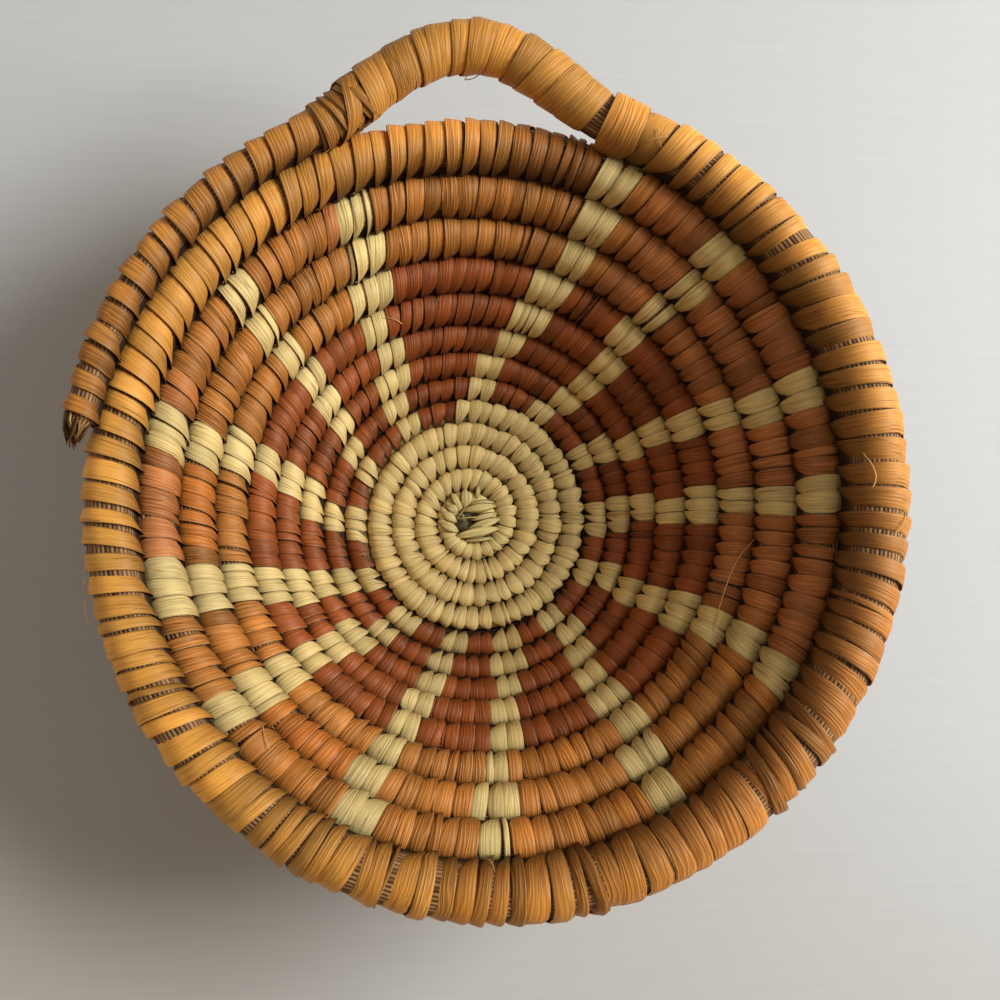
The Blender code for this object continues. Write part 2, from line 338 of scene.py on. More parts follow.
def coil_curve(bench, given):
    line = bench.read("GeometryNodeObjectInfo", sockets={"Object": given["Coil line"]}, name="Geometry")
    return bench.read("GeometryNodeMeshToCurve", sockets={"Mesh": line})


# A straight bar, one unit long and one in radius, which is bent to its place afterwards
def straight_bar(bench, sides, steps):
    sockets = {"Vertices": sides, "Side Segments": steps, "Radius": 1.0, "Depth": 1.0}
    return bench.read("GeometryNodeMeshCylinder", {"fill_type": "NGON"}, sockets, "Mesh")


# What the coil's line says at a distance along it: its place, its directions and its sizes
def coil_readings(bench, line, along):
    def sampled(kind, name):
        sockets = {"Curves": line, "Value": bench.attribute(name, kind), "Length": along}
        return bench.node("GeometryNodeSampleCurve", {"data_type": kind, "mode": "LENGTH"}, sockets)

    at = sampled("FLOAT_VECTOR", "outwards")
    place, ahead, outwards = (bench.out(at, name) for name in ("Position", "Tangent", "Value"))
    inwards = bench.vectors("CROSS_PRODUCT", outwards, ahead)
    radius, touching = (bench.out(sampled("FLOAT", name), "Value") for name in ("coil_radius", "touching"))
    return place, outwards, inwards, radius, touching


# A place round the coil: at 0 it faces into the bowl, at a quarter turn it faces the next turn
def round_coil(bench, place, outwards, inwards, angle, distance):
    inside = bench.scaled(inwards, distance * angle.math("COSINE"))
    outside = bench.scaled(outwards, distance * angle.math("SINE"))
    return bench.vectors("ADD", place, bench.vectors("ADD", inside, outside))


# The basket stands on the table: what would reach below its top is pressed flat
FLOOR_SOFTNESS = 0.0008


def pressed_flat(bench, place):
    x, y, z = bench.apart(place)
    squeezed = ((z - FLOOR_SOFTNESS) / FLOOR_SOFTNESS).math("EXPONENT") * FLOOR_SOFTNESS
    high = z > FLOOR_SOFTNESS
    return bench.joined(x, y, z * high + squeezed * (1.0 - high))


# Bends a shape to its place and gives it its finish
def finish_geometry(bench, shape, place, finish):
    sockets = {"Geometry": shape, "Position": pressed_flat(bench, place)}
    bent = bench.read("GeometryNodeSetPosition", sockets=sockets)
    smooth = bench.read("GeometryNodeSetShadeSmooth", sockets={"Geometry": bent}, name="Geometry")
    real = bench.read("GeometryNodeRealizeInstances", sockets={"Geometry": smooth}, name="Geometry")
    sockets = {"Geometry": real, "Material": finish}
    painted = bench.read("GeometryNodeSetMaterial", sockets=sockets, name="Geometry")
    bench.node("NodeGroupOutput", sockets={"Geometry": painted})


# Runs a tree on a mesh and keeps the result as a plain object
def grown(name, source, tree, settings):
    maker = link_piece(name + "_maker", source)
    growth = maker.modifiers.new("growth", "NODES")
    growth.node_group = tree
    labels = {s.name: s.identifier for s in tree.interface.items_tree if s.in_out == "INPUT"}
    for label, value in settings.items():
        growth[labels[label]] = value
    bpy.context.view_layer.update()
    graph = bpy.context.evaluated_depsgraph_get()
    ready = maker.evaluated_get(graph)
    shape = bpy.data.meshes.new_from_object(ready, preserve_all_data_layers=True, depsgraph=graph)
    maker.modifiers.remove(growth)
    bpy.data.objects.remove(maker, do_unlink=True)
    shape.name = name
    return link_piece(name, shape)


# The grass bundle: dry stems laid side by side and held only by the strips sewn round them. Pale
# and dark stems with deep lines between them, darkened by painted shade, show where the strips stand
# apart, and in the first turns, up to STRAW_END along the coil, they are yellow straw. Where two turns
# meet, the stems get painted shade, SHADED_STEM. Sizes of the pattern are in mm.
STEM_WIDTH = 1.05
STEM_WANDER = 1.2
STRAW_END = 470.0
STRAW_SHARE = 0.75
STEM_DEPTH = 0.00030
STEM_ROUGHNESS = 0.7
STEM_GLOSS = 0.15
PALE_STEM = (0.56, 0.31, 0.13, 1.0)
DARK_STEM = (0.075, 0.026, 0.009, 1.0)
SHADED_STEM = (0.022, 0.009, 0.004, 1.0)
STRAW_STEM = (0.50, 0.40, 0.16, 1.0)


def shader_bench(name):
    finish = bpy.data.materials.new(name)
    finish.use_nodes = True
    return finish, Bench(finish.node_tree), finish.node_tree.nodes["Principled BSDF"]


grass_finish, bench, shader = shader_bench("dry_grass_stems")
# The grain's third number, squeezed, is the share of painted shade where two turns meet
round_mm, along_mm, squeezed = bench.apart(bench.surface("grain", "Vector"))
stem = round_mm / STEM_WIDTH + (bench.noise(0.0, along_mm * 0.05, 0.0) - 0.5) * STEM_WANDER
number = stem.math("FLOOR")
ridge = (stem.math("FRACT") * math.pi).math("SINE")
streak = bench.noise(number * 7.3, along_mm * 0.06, number)
tone_at = bench.joined(number, 0.0, 0.0)
tone = bench.read("ShaderNodeTexWhiteNoise", {"noise_dimensions": "3D"}, {"Vector": tone_at}, "Value")
# Each stem darkens to DARK_STEM towards its sides: painted shade in the grooves between stems
pale = (tone * 0.85 + (streak - 0.5) * 0.8 + 0.22) * ridge ** 0.6
straw = STRAW_END > along_mm
tint = bench.blend(pale.clipped(), DARK_STEM, PALE_STEM)
tint = bench.blend(straw * STRAW_SHARE, tint, STRAW_STEM)
# Painted shade: where two turns meet, the stems blend towards SHADED_STEM, less so on the straw of the
# first turns
tint = bench.blend(squeezed.clipped() * (0.97 - straw * 0.42), tint, SHADED_STEM)
bench.fill(shader, {
    "Base Color": tint, "Roughness": STEM_ROUGHNESS, "Normal": bench.bump(STEM_DEPTH, ridge),
    "Specular IOR Level": STEM_GLOSS,
})

# The bundle itself is a tube swept along the coil's line, a little thinner than the wrapped coil
BUNDLE_DEPTH = 0.00055
BUNDLE_SPREAD = 0.0017
BUNDLE_STEPS = 1500
BUNDLE_SIDES = 20
MM = 1000.0  # millimetres in a metre
bench, given = geometry_bench("grass_bundle", {
    "Object": ["Coil line"], "Material": ["Stems"], "Int": ["Along steps", "Round steps"],
    "Float": ["Bundle length", "Depth under the wraps", "Spread to the next turn"],
})
line = coil_curve(bench, given)
tube = straight_bar(bench, given["Round steps"], given["Along steps"])
x, y, z = bench.apart(bench.read("GeometryNodeInputPosition"))
angle = y.math("ARCTAN2", x)
along = (z + 0.5) * given["Bundle length"]
place, outwards, inwards, radius, touching = coil_readings(bench, line, along)
# Where two turns lie side by side the stems are squeezed out towards the turn inside
facing = (-angle.math("SINE")).clipped() * touching
distance = radius - given["Depth under the wraps"] + facing ** 6.0 * given["Spread to the next turn"]
place = round_coil(bench, place, outwards, inwards, angle, distance)
# The grain's third number is how much painted shade the stems get where two turns meet
grain = bench.joined(angle * radius * MM, along * MM, facing ** 2.0 * 1.7)
tube = bench.store(tube, "grain", grain, "FLOAT_VECTOR")
finish_geometry(bench, tube, place, given["Stems"])

grass_bundle = grown(
    "grass_bundle", bpy.data.meshes.new("bundle_start"), bench.tree,
    {"Coil line": coil_line, "Stems": grass_finish, "Along steps": BUNDLE_STEPS,
     "Round steps": BUNDLE_SIDES, "Bundle length": along_coil(WRAP_END_TURN),
     "Depth under the wraps": BUNDLE_DEPTH, "Spread to the next turn": BUNDLE_SPREAD},
)
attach(grass_bundle, "root")
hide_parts("foundation_bundle")


# The leaf strips of the middle. Pale split leaf, sewn in short fat stitches round the first four
# turns. Each stitch goes over the bundle, dives into the turn inside it and comes up again.
# A leaf colour is given as it looks, from 0 to 255, and turned into the light that it reflects.
def linear(level):
    share = level / 255.0
    return share / 12.92 if share <= 0.04045 else ((share + 0.055) / 1.055) ** 2.4


def dye(red, green, blue):
    return np.array([linear(red), linear(green), linear(blue)])


STRAW = dye(240, 218, 144)
CREAM = dye(242, 213, 140)
RUST = dye(163, 82, 33)
TAN = dye(206, 131, 57)
BROWN = dye(206, 127, 68)
ORANGE = dye(216, 126, 48)
GOLD = dye(230, 161, 70)

# The leaf itself: ribs and fibres run the length of each strip, stains lie across it, its cut edges
# are pale with a painted highlight, and painted shade darkens it in the valleys and where the strips
# dive between the turns. Sizes of the pattern are in mm; shades are the share of light that they take away.
RIB_SPACING = 0.95
RIB_WANDER = 2.8
RIB_DEPTH = 0.00014
FURROW_SHADE = 0.42
INNER_SHADE_STRENGTH = 0.72
OUTER_SHADE_STRENGTH = 0.50
TUCKED_SHADE_STRENGTH = 0.7
PALE_LEAF_SPARED = 0.45
BURIED_EDGE = 0.40
BURIED_SHADE = 0.72
STANDING_EDGE = 0.20
STANDING_SHADE = 0.42
CUT_HIGHLIGHT_PLACE = 0.19
CUT_HIGHLIGHT_WIDTH = 0.15
CUT_HIGHLIGHT_SHARE = 0.55
STAIN_SHARE = 0.36
LEAF_GLOSS = 0.46
LEAF_GLOSS_TINT = (1.0, 0.85, 0.65, 1.0)
VEIN_SHARE = (0.62, 0.50, 0.38)
STAIN = (0.22, 0.085, 0.028, 1.0)
PALE_CUT_HIGHLIGHT = (0.80, 0.56, 0.27, 1.0)
leaf_finish, bench, shader = shader_bench("split_leaf")
across_mm, along_mm, journey = bench.apart(bench.surface("grain", "Vector"))
tone, ribbing, side = (bench.surface(name) for name in ("tone", "ribbing", "side"))
turn_inside, turn_outside = (bench.surface(name) for name in ("turn_inside", "turn_outside"))
colour = bench.surface("leaf_colour", "Color")


# A noise with its own scale across and along the strip, which differs from strip to strip
def leaf_noise(per_mm_across, per_mm_along, seed, detail=2.0):
    return bench.noise(across_mm * per_mm_across, along_mm * per_mm_along, tone * seed, detail)


wander = leaf_noise(0.60, 0.07, 50.0, 1.0) * RIB_WANDER
rib_phase = (across_mm * (tone * 0.35 + 0.85) + wander + tone * 9.0) * (2 * math.pi / RIB_SPACING)
rib = (rib_phase.math("SINE") * 0.5 + 0.5) ** (tone * 2.0 + 0.8)
# Painted shade in the furrows between the ribs
furrow = 1.0 - (1.0 - rib) ** 2.4 * ribbing * FURROW_SHADE
fibre = leaf_noise(6.0, 0.14, 90.0, 3.0)
vein = ((0.50 - leaf_noise(2.7, 0.06, 60.0, 3.0)) * 5.0).clipped()
blotch = leaf_noise(0.25, 0.17, 30.0)
worn = leaf_noise(1.1, 0.35, 70.0, 3.0)
split = leaf_noise(0.8, 0.03, 40.0, 1.0).near(0.5, 45.0)
split = split * leaf_noise(0.4, 0.10, 85.0, 0.0).above(0.58, 12.0)
# Painted shade: each strip darkens towards the inner valley where it dives under the turn inside, at the
# outer valley beside the next turn, and where it tucks in
inner_valley_shade = ((journey - 0.61 - turn_outside * 0.09) * 3.2).clipped() ** 1.3 * turn_inside
outer_valley_shade = journey.near(0.5, 9.0) * turn_outside
tucked_shade = journey.above(0.91, 13.0) * turn_inside
tucked_shade = tucked_shade + journey.near(0.5, 22.0) * turn_outside
# Pale leaf gets less of the painted shade than dyed leaf, and the rim's outer side is painted lighter, as
# lit
painted_shade_share = 1.0 - bench.apart(colour)[1].above(0.40, 5.0) * PALE_LEAF_SPARED
valley_shade = inner_valley_shade * (INNER_SHADE_STRENGTH - turn_outside * 0.17) + outer_valley_shade * OUTER_SHADE_STRENGTH
valley_shading = (1.0 - valley_shade * painted_shade_share) * (1.0 - tucked_shade.clipped() * TUCKED_SHADE_STRENGTH * painted_shade_share)
# Painted light: on the rim, with no turn outside it, each strip's outer side is lighter, and all strips are
# a little darker elsewhere
outer_side_light = ((0.70 - journey) * 4.5).clipped() * turn_inside * (1.0 - turn_outside)
# The edge towards the next strip stands up, with a thin painted shade line along it and a pale band beside
# it, partly where it was cut and partly a painted highlight; the other one lies in painted shadow
edge_mm = abs(across_mm) * (1.0 / abs(side).math("MAXIMUM", 0.02) - 1.0)
buried = (1.0 - edge_mm / BURIED_EDGE).clipped() * (side < 0.0)
standing = (1.0 - edge_mm / STANDING_EDGE).clipped() * (side > 0.0)
shade = valley_shading * furrow * (fibre * 0.80 + 0.62) * (blotch * 0.50 + 0.78)
shade = shade * (1.0 - buried * BURIED_SHADE) * (1.0 - standing * STANDING_SHADE)
shade = shade * (0.90 + outer_side_light * 0.32)
deep = bench.vectors("MULTIPLY", colour, VEIN_SHARE)
# The painted shade of the inner valley also browns the leaf there
veined = bench.blend((vein * 0.60 + split * 0.75 + inner_valley_shade * 0.50).clipped(), colour, deep)
stains = blotch.above(0.56, 2.4) * STAIN_SHARE
stained = bench.blend(stains, bench.scaled(veined, shade), STAIN)
# The pale band beside the standing edge: partly the leaf's cut, partly a painted highlight
cut_highlight = (1.0 - abs(edge_mm - CUT_HIGHLIGHT_PLACE) / CUT_HIGHLIGHT_WIDTH).clipped() * (side > 0.0)
cut_highlight = cut_highlight * worn.above(0.47, 4.0) * CUT_HIGHLIGHT_SHARE
tinted = bench.blend(cut_highlight * (1.0 - inner_valley_shade), stained, PALE_CUT_HIGHLIGHT)
height = rib * ribbing + fibre * 0.45 - split * 0.8
bench.fill(shader, {
    "Base Color": tinted, "Roughness": fibre * 0.30 + 0.36 + rib * 0.06,
    "Normal": bench.bump(RIB_DEPTH, height), "Specular IOR Level": LEAF_GLOSS,
    "Specular Tint": LEAF_GLOSS_TINT,
})

# The stitching: one short leaf strip on every stitch point, bent round the coil. It is widest over
# the bundle and narrows to a nib where it dives between two stitches of the turn inside it. Its
# underside lies a seat below the coil's skin. It starts at the seam, the angle round the coil where
# it comes out of the turn inside, and with its dive it reaches out into that turn again.
STRIP_SWEEP = math.radians(330.0)
DIVE_SWEEP = math.radians(48.0)
SWEEP_MM = 5760.0  # millimetres of strip for each metre of the coil's radius
STEP_CROWDING = 1.35
STRIP_SIDES = 6
EDGE_SHARE = 0.9
EDGE_LIFT = 0.16
FLAT_CORNERS = 0.6
HEXAGON_TO_UNIT = 0.577
UNEVEN_NIB = 0.3
UNEVEN_PINCH = 0.9
UNEVEN_BEND = 0.45
bench, given = geometry_bench("leaf_stitches", {
    "Object": ["Coil line"], "Material": ["Leaf"], "Int": ["Round steps", "Seed"],
    "Float": ["Strip thickness", "Strip seat", "Nib length", "Nib width", "Nib bend", "Outer pinch",
              "Uneven height", "Uneven tilt", "Mean tilt", "Gap fill", "Dive", "Dive share", "Seam",
              "Helix"],
})
line = coil_curve(bench, given)


# A random number for each strip
def uneven(bench, low, high, seed):
    sockets = {"Min": low, "Max": high, "ID": bench.read("GeometryNodeInputIndex"), "Seed": seed}
    return bench.read("FunctionNodeRandomValue", {"data_type": "FLOAT"}, sockets, "Value")


stitch, seed = given["Geometry"], given["Seed"]
lifting = uneven(bench, -given["Uneven height"], given["Uneven height"], seed + 1.0)
tilting = given["Mean tilt"] + uneven(bench, -given["Uneven tilt"], given["Uneven tilt"], seed + 2.0)
stitch = bench.store(stitch, "lifting", lifting + bench.attribute("raised"))
stitch = bench.store(stitch, "tilting", tilting)
stitch = bench.store(stitch, "tone", uneven(bench, 0.0, 1.0, seed + 3.0))
stitch = bench.store(stitch, "wildness", uneven(bench, -1.0, 1.0, seed + 4.0))
# Before it is bent, a strip is a straight bar with six sides, two of which are sharp edges
strip = straight_bar(bench, STRIP_SIDES, given["Round steps"])
x, y, z = bench.apart(bench.read("GeometryNodeInputPosition"))
sockets = {"Geometry": strip, "Selection": abs(x) > EDGE_SHARE, "Shade Smooth": False}
strip = bench.read("GeometryNodeSetShadeSmooth", {"domain": "EDGE"}, sockets, "Geometry")
strip = bench.read("GeometryNodeInstanceOnPoints", sockets={"Points": stitch, "Instance": strip})
strip = bench.read("GeometryNodeRealizeInstances", sockets={"Geometry": strip}, name="Geometry")
x, y, z = bench.apart(bench.read("GeometryNodeInputPosition"))
across = -(x / abs(x)) * abs(x) ** FLAT_CORNERS
rim_of_strip = abs(x) > EDGE_SHARE
# The journey runs from the inner valley under the coil (0), past the outer valley (a half), to the
# inner valley on the bowl's side (1), with shorter steps towards its end
journey = 1.0 - (0.5 - z) ** STEP_CROWDING
angle = journey * -STRIP_SWEEP - given["Seam"]
from_end = (1.0 - journey).math("MINIMUM", journey) * STRIP_SWEEP
wildness = bench.attribute("wildness")
nib = (from_end / (given["Nib length"] * (1.0 + wildness * UNEVEN_NIB))).clipped() ** 0.7
# A blunt strip of the middle is broad at its inner end and pinched at its outer one. A full end,
# on the turns further out, is broad and straight where other strips bend into a nib.
blunt, full_end = bench.attribute("blunt"), bench.attribute("full_end")
at_valley = journey.near(0.5, 8.0 - blunt * 4.5)
narrowest = given["Nib width"] + blunt * 0.35 + full_end * 0.40
pinch = (given["Outer pinch"] * (1.0 + wildness * UNEVEN_PINCH) + blunt * 0.4) * at_valley
fullness = (narrowest + (1.0 - narrowest) * nib) * (1.0 - pinch)
# On the bowl's side a strip leans as its row says. Underneath it goes back one pitch, to where the
# next one starts. A helix, as on the loop, leans the same all the way round.
on_top = journey > 0.5
lean, helix = bench.attribute("lean"), given["Helix"]
over = lean * (journey * 2.0 - 1.5)
under = (lean * 0.5 - bench.attribute("pitch")) * (1.0 - journey * 2.0) - lean * journey
slant = (over * on_top + under * (1.0 - on_top)) * (1.0 - helix) + lean * (journey - 0.5) * helix
bent = (1.0 - fullness) * (given["Nib bend"] + wildness * UNEVEN_BEND) * (1.0 - full_end * 0.7) * on_top
half_width = bench.attribute("width") * 0.5
along = bench.attribute("along") + slant + (across * fullness + bent) * half_width
place, outwards, inwards, radius, touching = coil_readings(bench, line, along)
body = y * HEXAGON_TO_UNIT + 0.5 + rim_of_strip * EDGE_LIFT
body = given["Strip thickness"] * body * (fullness * 0.7 + 0.3)
fill = (-angle.math("SINE")).clipped() ** 4.0 * touching * given["Gap fill"]
dive = (1.0 - from_end / DIVE_SWEEP).clipped() ** 1.6 * touching
dive = dive * (given["Dive"] + radius * given["Dive share"])
lift = given["Strip seat"] + body + bench.attribute("lifting")
lift = lift + bench.attribute("tilting") * across + fill + dive
place = round_coil(bench, place, outwards, inwards, angle, radius + lift)
grain = bench.joined(across * half_width * MM, journey * radius * SWEEP_MM, journey)
strip = bench.store(strip, "grain", grain, "FLOAT_VECTOR")
strip = bench.store(strip, "side", across)
strip = bench.store(strip, "turn_inside", touching)
finish_geometry(bench, strip, place, given["Leaf"])
stitch_tree = bench.tree

# Along the coil, by turn: how far apart the stitches are, how much of that a strip covers, how
# uneven the widths are and how deep the leaf's ribs show
PITCH_STATIONS = (
    (0.0, 0.0022), (1.2, 0.0025), (2.2, 0.0031), (4.2, 0.0031), (4.5, 0.0031), (8.0, 0.0034),
    (10.0, 0.0037), (11.5, 0.0040), (12.3, 0.0044), (12.45, 0.0047), (12.6, 0.0047), (12.7, 0.0041),
    (12.9, 0.0042), (12.97, 0.0050), (13.2, 0.0056), (13.32, 0.0053), (13.47, 0.0054),
)
COVER_STATIONS = (
    (0.0, 1.22), (4.2, 1.20), (4.3, 1.10), (9.3, 1.08), (12.15, 1.06), (12.19, 0.95), (12.24, 0.92),
    (12.26, 1.04), (12.43, 1.04), (12.45, 1.03), (12.60, 1.02), (12.65, 0.98), (12.79, 0.98),
    (12.85, 1.02), (12.88, 1.02), (12.91, 1.00), (13.15, 1.00), (13.19, 1.05), (13.32, 1.0),
    (13.35, 0.92), (13.44, 0.84), (13.47, 0.70),
)
UNEVEN_STATIONS = (
    (0.0, 0.12), (4.3, 0.12), (9.3, 0.18), (12.2, 0.20), (12.3, 0.16), (12.55, 0.12), (12.66, 0.34),
    (12.86, 0.40), (12.93, 0.18), (13.47, 0.12),
)
RIBBING_STATIONS = (
    (0.0, 0.35), (4.2, 0.35), (4.4, 0.40), (9.3, 0.45), (9.6, 0.68), (12.2, 0.70), (12.35, 0.5),
    (12.45, 0.25), (12.58, 0.25), (12.66, 0.58), (12.9, 0.58), (12.95, 0.35), (13.15, 0.35),
    (13.25, 0.4), (13.35, 0.7), (13.47, 0.7),
)

# Thirteen spokes cross the pattern: their places round the basket on rings 4, 8 and 11, in degrees,
# and how wide each one is, in mm
SPOKES = (
    (123.5, 117.8, 114.5, 7.2), (152.3, 141.0, 141.5, 7.2), (181.3, 168.2, 166.8, 7.8),
    (208.0, 198.5, 194.2, 8.4), (235.5, 219.2, 218.0, 9.2), (260.5, 248.6, 245.2, 8.2),
    (286.3, 274.0, 268.4, 7.8), (310.8, 304.4, 300.6, 7.6), (335.5, 333.5, 330.0, 7.4),
    (361.0, 362.0, 360.5, 7.4), (389.0, 382.0, 378.0, 7.4), (414.4, 408.4, 406.0, 7.4),
    (446.0, 432.5, 427.0, 8.2),
)
SPOKE_RINGS = (4.0, 8.0, 11.0)
SPOKE_COURSES = np.polynomial.polynomial.polyfit(SPOKE_RINGS, np.array(SPOKES)[:, :3].T, 2)
SPOKE_GROWTH = 0.00022
SPOKE_UNEVENNESS = 0.0007
RING_START = 97.0
CREAM_END = 4.27
FIELD_END = 9.325
BORDER_END = 12.24
# The first 1.8 turns fade from straw to cream, and the leaf of the middle is the palest
STRAW_FADE = 1.8
MIDDLE_LIGHT = 1.08
# Painted light: the cream of the spokes is lighter towards 60 degrees round the basket
SPOKE_PAINTED_LIGHT_SWING = 0.13
SPOKE_PAINTED_LIGHT_SIDE = 60.0
# Patches of the border that aren't plain tan: from turn to turn, from side to side in degrees
BORDER_PATCHES = (
    (9, 13, -1, 62, BROWN), (9, 13, 330, 361, BROWN), (11, 13, 74, 110, TAN * 0.84),
    (10, 11, 166, 188, ORANGE), (10, 11, 222, 241, ORANGE), (11, 13, 158, 200, BROWN),
    (11, 13, 110, 122, BROWN),
)
# How far the gold of the rim goes over into a darker tan, along the coil
RIM_TAN = TAN * 0.86
RIM_TAN_STATIONS = (
    (12.24, 0.60), (12.3, 0.32), (12.4, 0.0), (12.5, -0.1), (12.62, -0.32), (12.7, 0.3), (12.84, 0.95),
    (12.95, 0.9), (13.05, 0.4), (13.2, 0.1), (13.28, 0.2), (13.32, 0.6), (13.47, 0.75),
)
LIGHT_SPREAD = 0.20
LIGHT_DRIFT = 0.12
WARMTH_SPREAD = 0.08
WARMTH_DRIFT = 0.06
DARK_STRIP_SHARE = 0.08
DARK_STRIP_LIGHT = 0.72
hand = np.random.default_rng(41)


# A smooth wander between -1 and 1 along the coil
def drift(turn, quickness, seed):
    waves = ((1.0, 0.5), (1.7, 0.3), (2.9, 0.2))
    way = 2 * math.pi * turn * quickness
    return sum(share * math.sin(way * rate + seed * (rate + 1.3)) for rate, share in waves)


def in_spoke(turn):
    ring = math.floor(turn - RING_START / 360.0)
    side = 360.0 * (turn - ring)
    (x, y, _), _, _ = coil_place(turn)
    radius = math.hypot(x - SPIRAL_AXIS[0], y - SPIRAL_AXIS[1])
    centres = np.polynomial.polynomial.polyval(float(ring), SPOKE_COURSES)
    spare = SPOKE_GROWTH * (ring - 7) + SPOKE_UNEVENNESS * drift(turn, 3.1, 2)
    return any(abs(math.radians(side - centre)) * radius < 0.5 * (spoke[3] / MM + spare)
               for centre, spoke in zip(centres, SPOKES))


def plain_colour(turn):
    side = 360.0 * (turn % 1.0)
    if turn < CREAM_END:
        return (STRAW + (CREAM - STRAW) * min(turn / STRAW_FADE, 1.0)) * MIDDLE_LIGHT
    if turn < BORDER_END and in_spoke(turn):
        return CREAM * (1.0 + SPOKE_PAINTED_LIGHT_SWING * math.cos(math.radians(side - SPOKE_PAINTED_LIGHT_SIDE)))
    if turn < FIELD_END:
        return RUST
    if turn >= BORDER_END:
        return GOLD + (RIM_TAN - GOLD) * between(RIM_TAN_STATIONS, turn)
    for first_turn, last_turn, first_side, last_side, colour in BORDER_PATCHES:
        if first_turn < turn < last_turn and first_side < side < last_side:
            return colour
    return TAN


# No two strips of one colour are quite alike, and here and there one is much darker. Cream strips
# differ half as much as the others.
def leaf_colour(turn):
    patchy = 0.5 if turn < CREAM_END or in_spoke(turn) else 1.0
    light = 1.0 + patchy * (LIGHT_SPREAD * hand.uniform(-1, 1) + LIGHT_DRIFT * drift(turn, 9.0, 5))
    if patchy == 1.0 and hand.random() < DARK_STRIP_SHARE:
        light *= DARK_STRIP_LIGHT
    warmth = patchy * (WARMTH_SPREAD * hand.uniform(-1, 1) + WARMTH_DRIFT * drift(turn, 6.0, 7))
    return plain_colour(turn) * light * np.array([1.0 + 0.4 * warmth, 1.0, 1.0 - warmth])


def within(turn, stretch):
    return stretch[0] < turn < stretch[1]


# The most at the middle of a stretch, falling evenly to 0 at either end of it
def peak(place, middle, half, most=1.0):
    return most * max(0.0, 1.0 - abs(place - middle) / half)


# The stitches lean, in degrees: most on the left of the basket and hardly at all on its right. On
# the upper wall they lie slantwise at two places at the bottom and stand straighter at the top.
# The rim's lean evenly on the right, where only a few stand straight, and along the bottom they
# cross over one another. A place is a share of a round, its reach and the degrees at its middle.
MEAN_LEAN = 8.0
LEAN_SWING = 11.0
LEAN_DRIFT = 5.0
UNEVEN_LEAN = 5.0
MOST_LEAN_SIDE = math.radians(150.0)
SLANTWISE_TURNS = (9.5, 12.3)
SLANTWISE_PLACES = ((0.69, 0.06, 10.0), (0.90, 0.08, 17.0))
UPRIGHT_TURNS = (9.5, 12.5)
UPRIGHT_PLACE = (0.25, 0.08, 10.0)
RIGHT_RIM_START = 12.9
RIGHT_RIM_LEAN = 13.0
STRAIGHT_RIM_PLACE = (13.0, 0.07, 11.0)
CROSSING_TURNS = (12.64, 12.9)
CROSSING_UNEVEN_LEAN = 10.0
CROSSING_RISE_START, CROSSING_RISE_LENGTH, CROSSING_RISE = 12.82, 0.08, 14.0


def stitch_lean(turn):
    swing = LEAN_SWING * math.cos(2 * math.pi * turn - MOST_LEAN_SIDE)
    angle = MEAN_LEAN + swing + LEAN_DRIFT * drift(turn, 7.0, 3)
    angle += hand.uniform(-UNEVEN_LEAN, UNEVEN_LEAN)
    if within(turn, SLANTWISE_TURNS):
        angle += sum(peak(turn % 1.0, *place) for place in SLANTWISE_PLACES)
    if within(turn, UPRIGHT_TURNS):
        angle -= peak(turn % 1.0, *UPRIGHT_PLACE)
    if turn > RIGHT_RIM_START:
        angle = RIGHT_RIM_LEAN + hand.uniform(-UNEVEN_LEAN, UNEVEN_LEAN)
        angle -= peak(turn, *STRAIGHT_RIM_PLACE)
    if within(turn, CROSSING_TURNS):
        rise = max(0.0, (turn - CROSSING_RISE_START) / CROSSING_RISE_LENGTH)
        angle += hand.uniform(-CROSSING_UNEVEN_LEAN, CROSSING_UNEVEN_LEAN) + CROSSING_RISE * rise
    return coil_thickness(turn) * math.tan(math.radians(angle))


# How evenly the strips are laid. Some steps are short ones, and some strips are narrower than the
# rest: from turn to turn, the share of them, and by how much.
SHORT_STEPS = (0.40, 0.7)
UNEVEN_COVER = 0.05
NARROWER_STRIPS = (
    ((12.44, 12.64), 0.36, 0.0011), ((9.0, 12.2), 0.08, 0.0010), ((12.62, 12.9), 0.35, 0.0004),
)
# On the right of the rim each strip leaves one of three gaps
OPEN_RIM = (12.92, 13.17)
OPEN_RIM_GAPS = (0.0002, 0.0008, 0.0014)
# Where the rim's strips lie over and under one another, and by how much
HEAPED_RIM = (12.62, 12.93)
HEAP_HEIGHT = 0.00045
# Pale leaf shows its ribs less
PALE_LEAF_LEVEL = 0.42
PALE_LEAF_RIBS = 0.6
# In the middle the ends of the strips are bluntest a little below the right
MEAN_BLUNTNESS = 0.72
BLUNTNESS_SWING = 0.42
BLUNT_TURNED = math.radians(25)
# Further out the ends are fullest at the upper right: a share of a round, and its reach
FULL_END_TURNS = (CREAM_END, 13.17)
FULL_END_PLACE = (0.17, 0.2)


# One row for each strip: its place along the coil, the step to the next, its width, its lean, how
# far it is raised above its neighbours, how deep its ribs are, how blunt and how full its end is
# (from 0 to 1), and its colour
STRIP_NUMBERS = ("along", "pitch", "width", "lean", "raised", "ribbing", "blunt", "full_end")


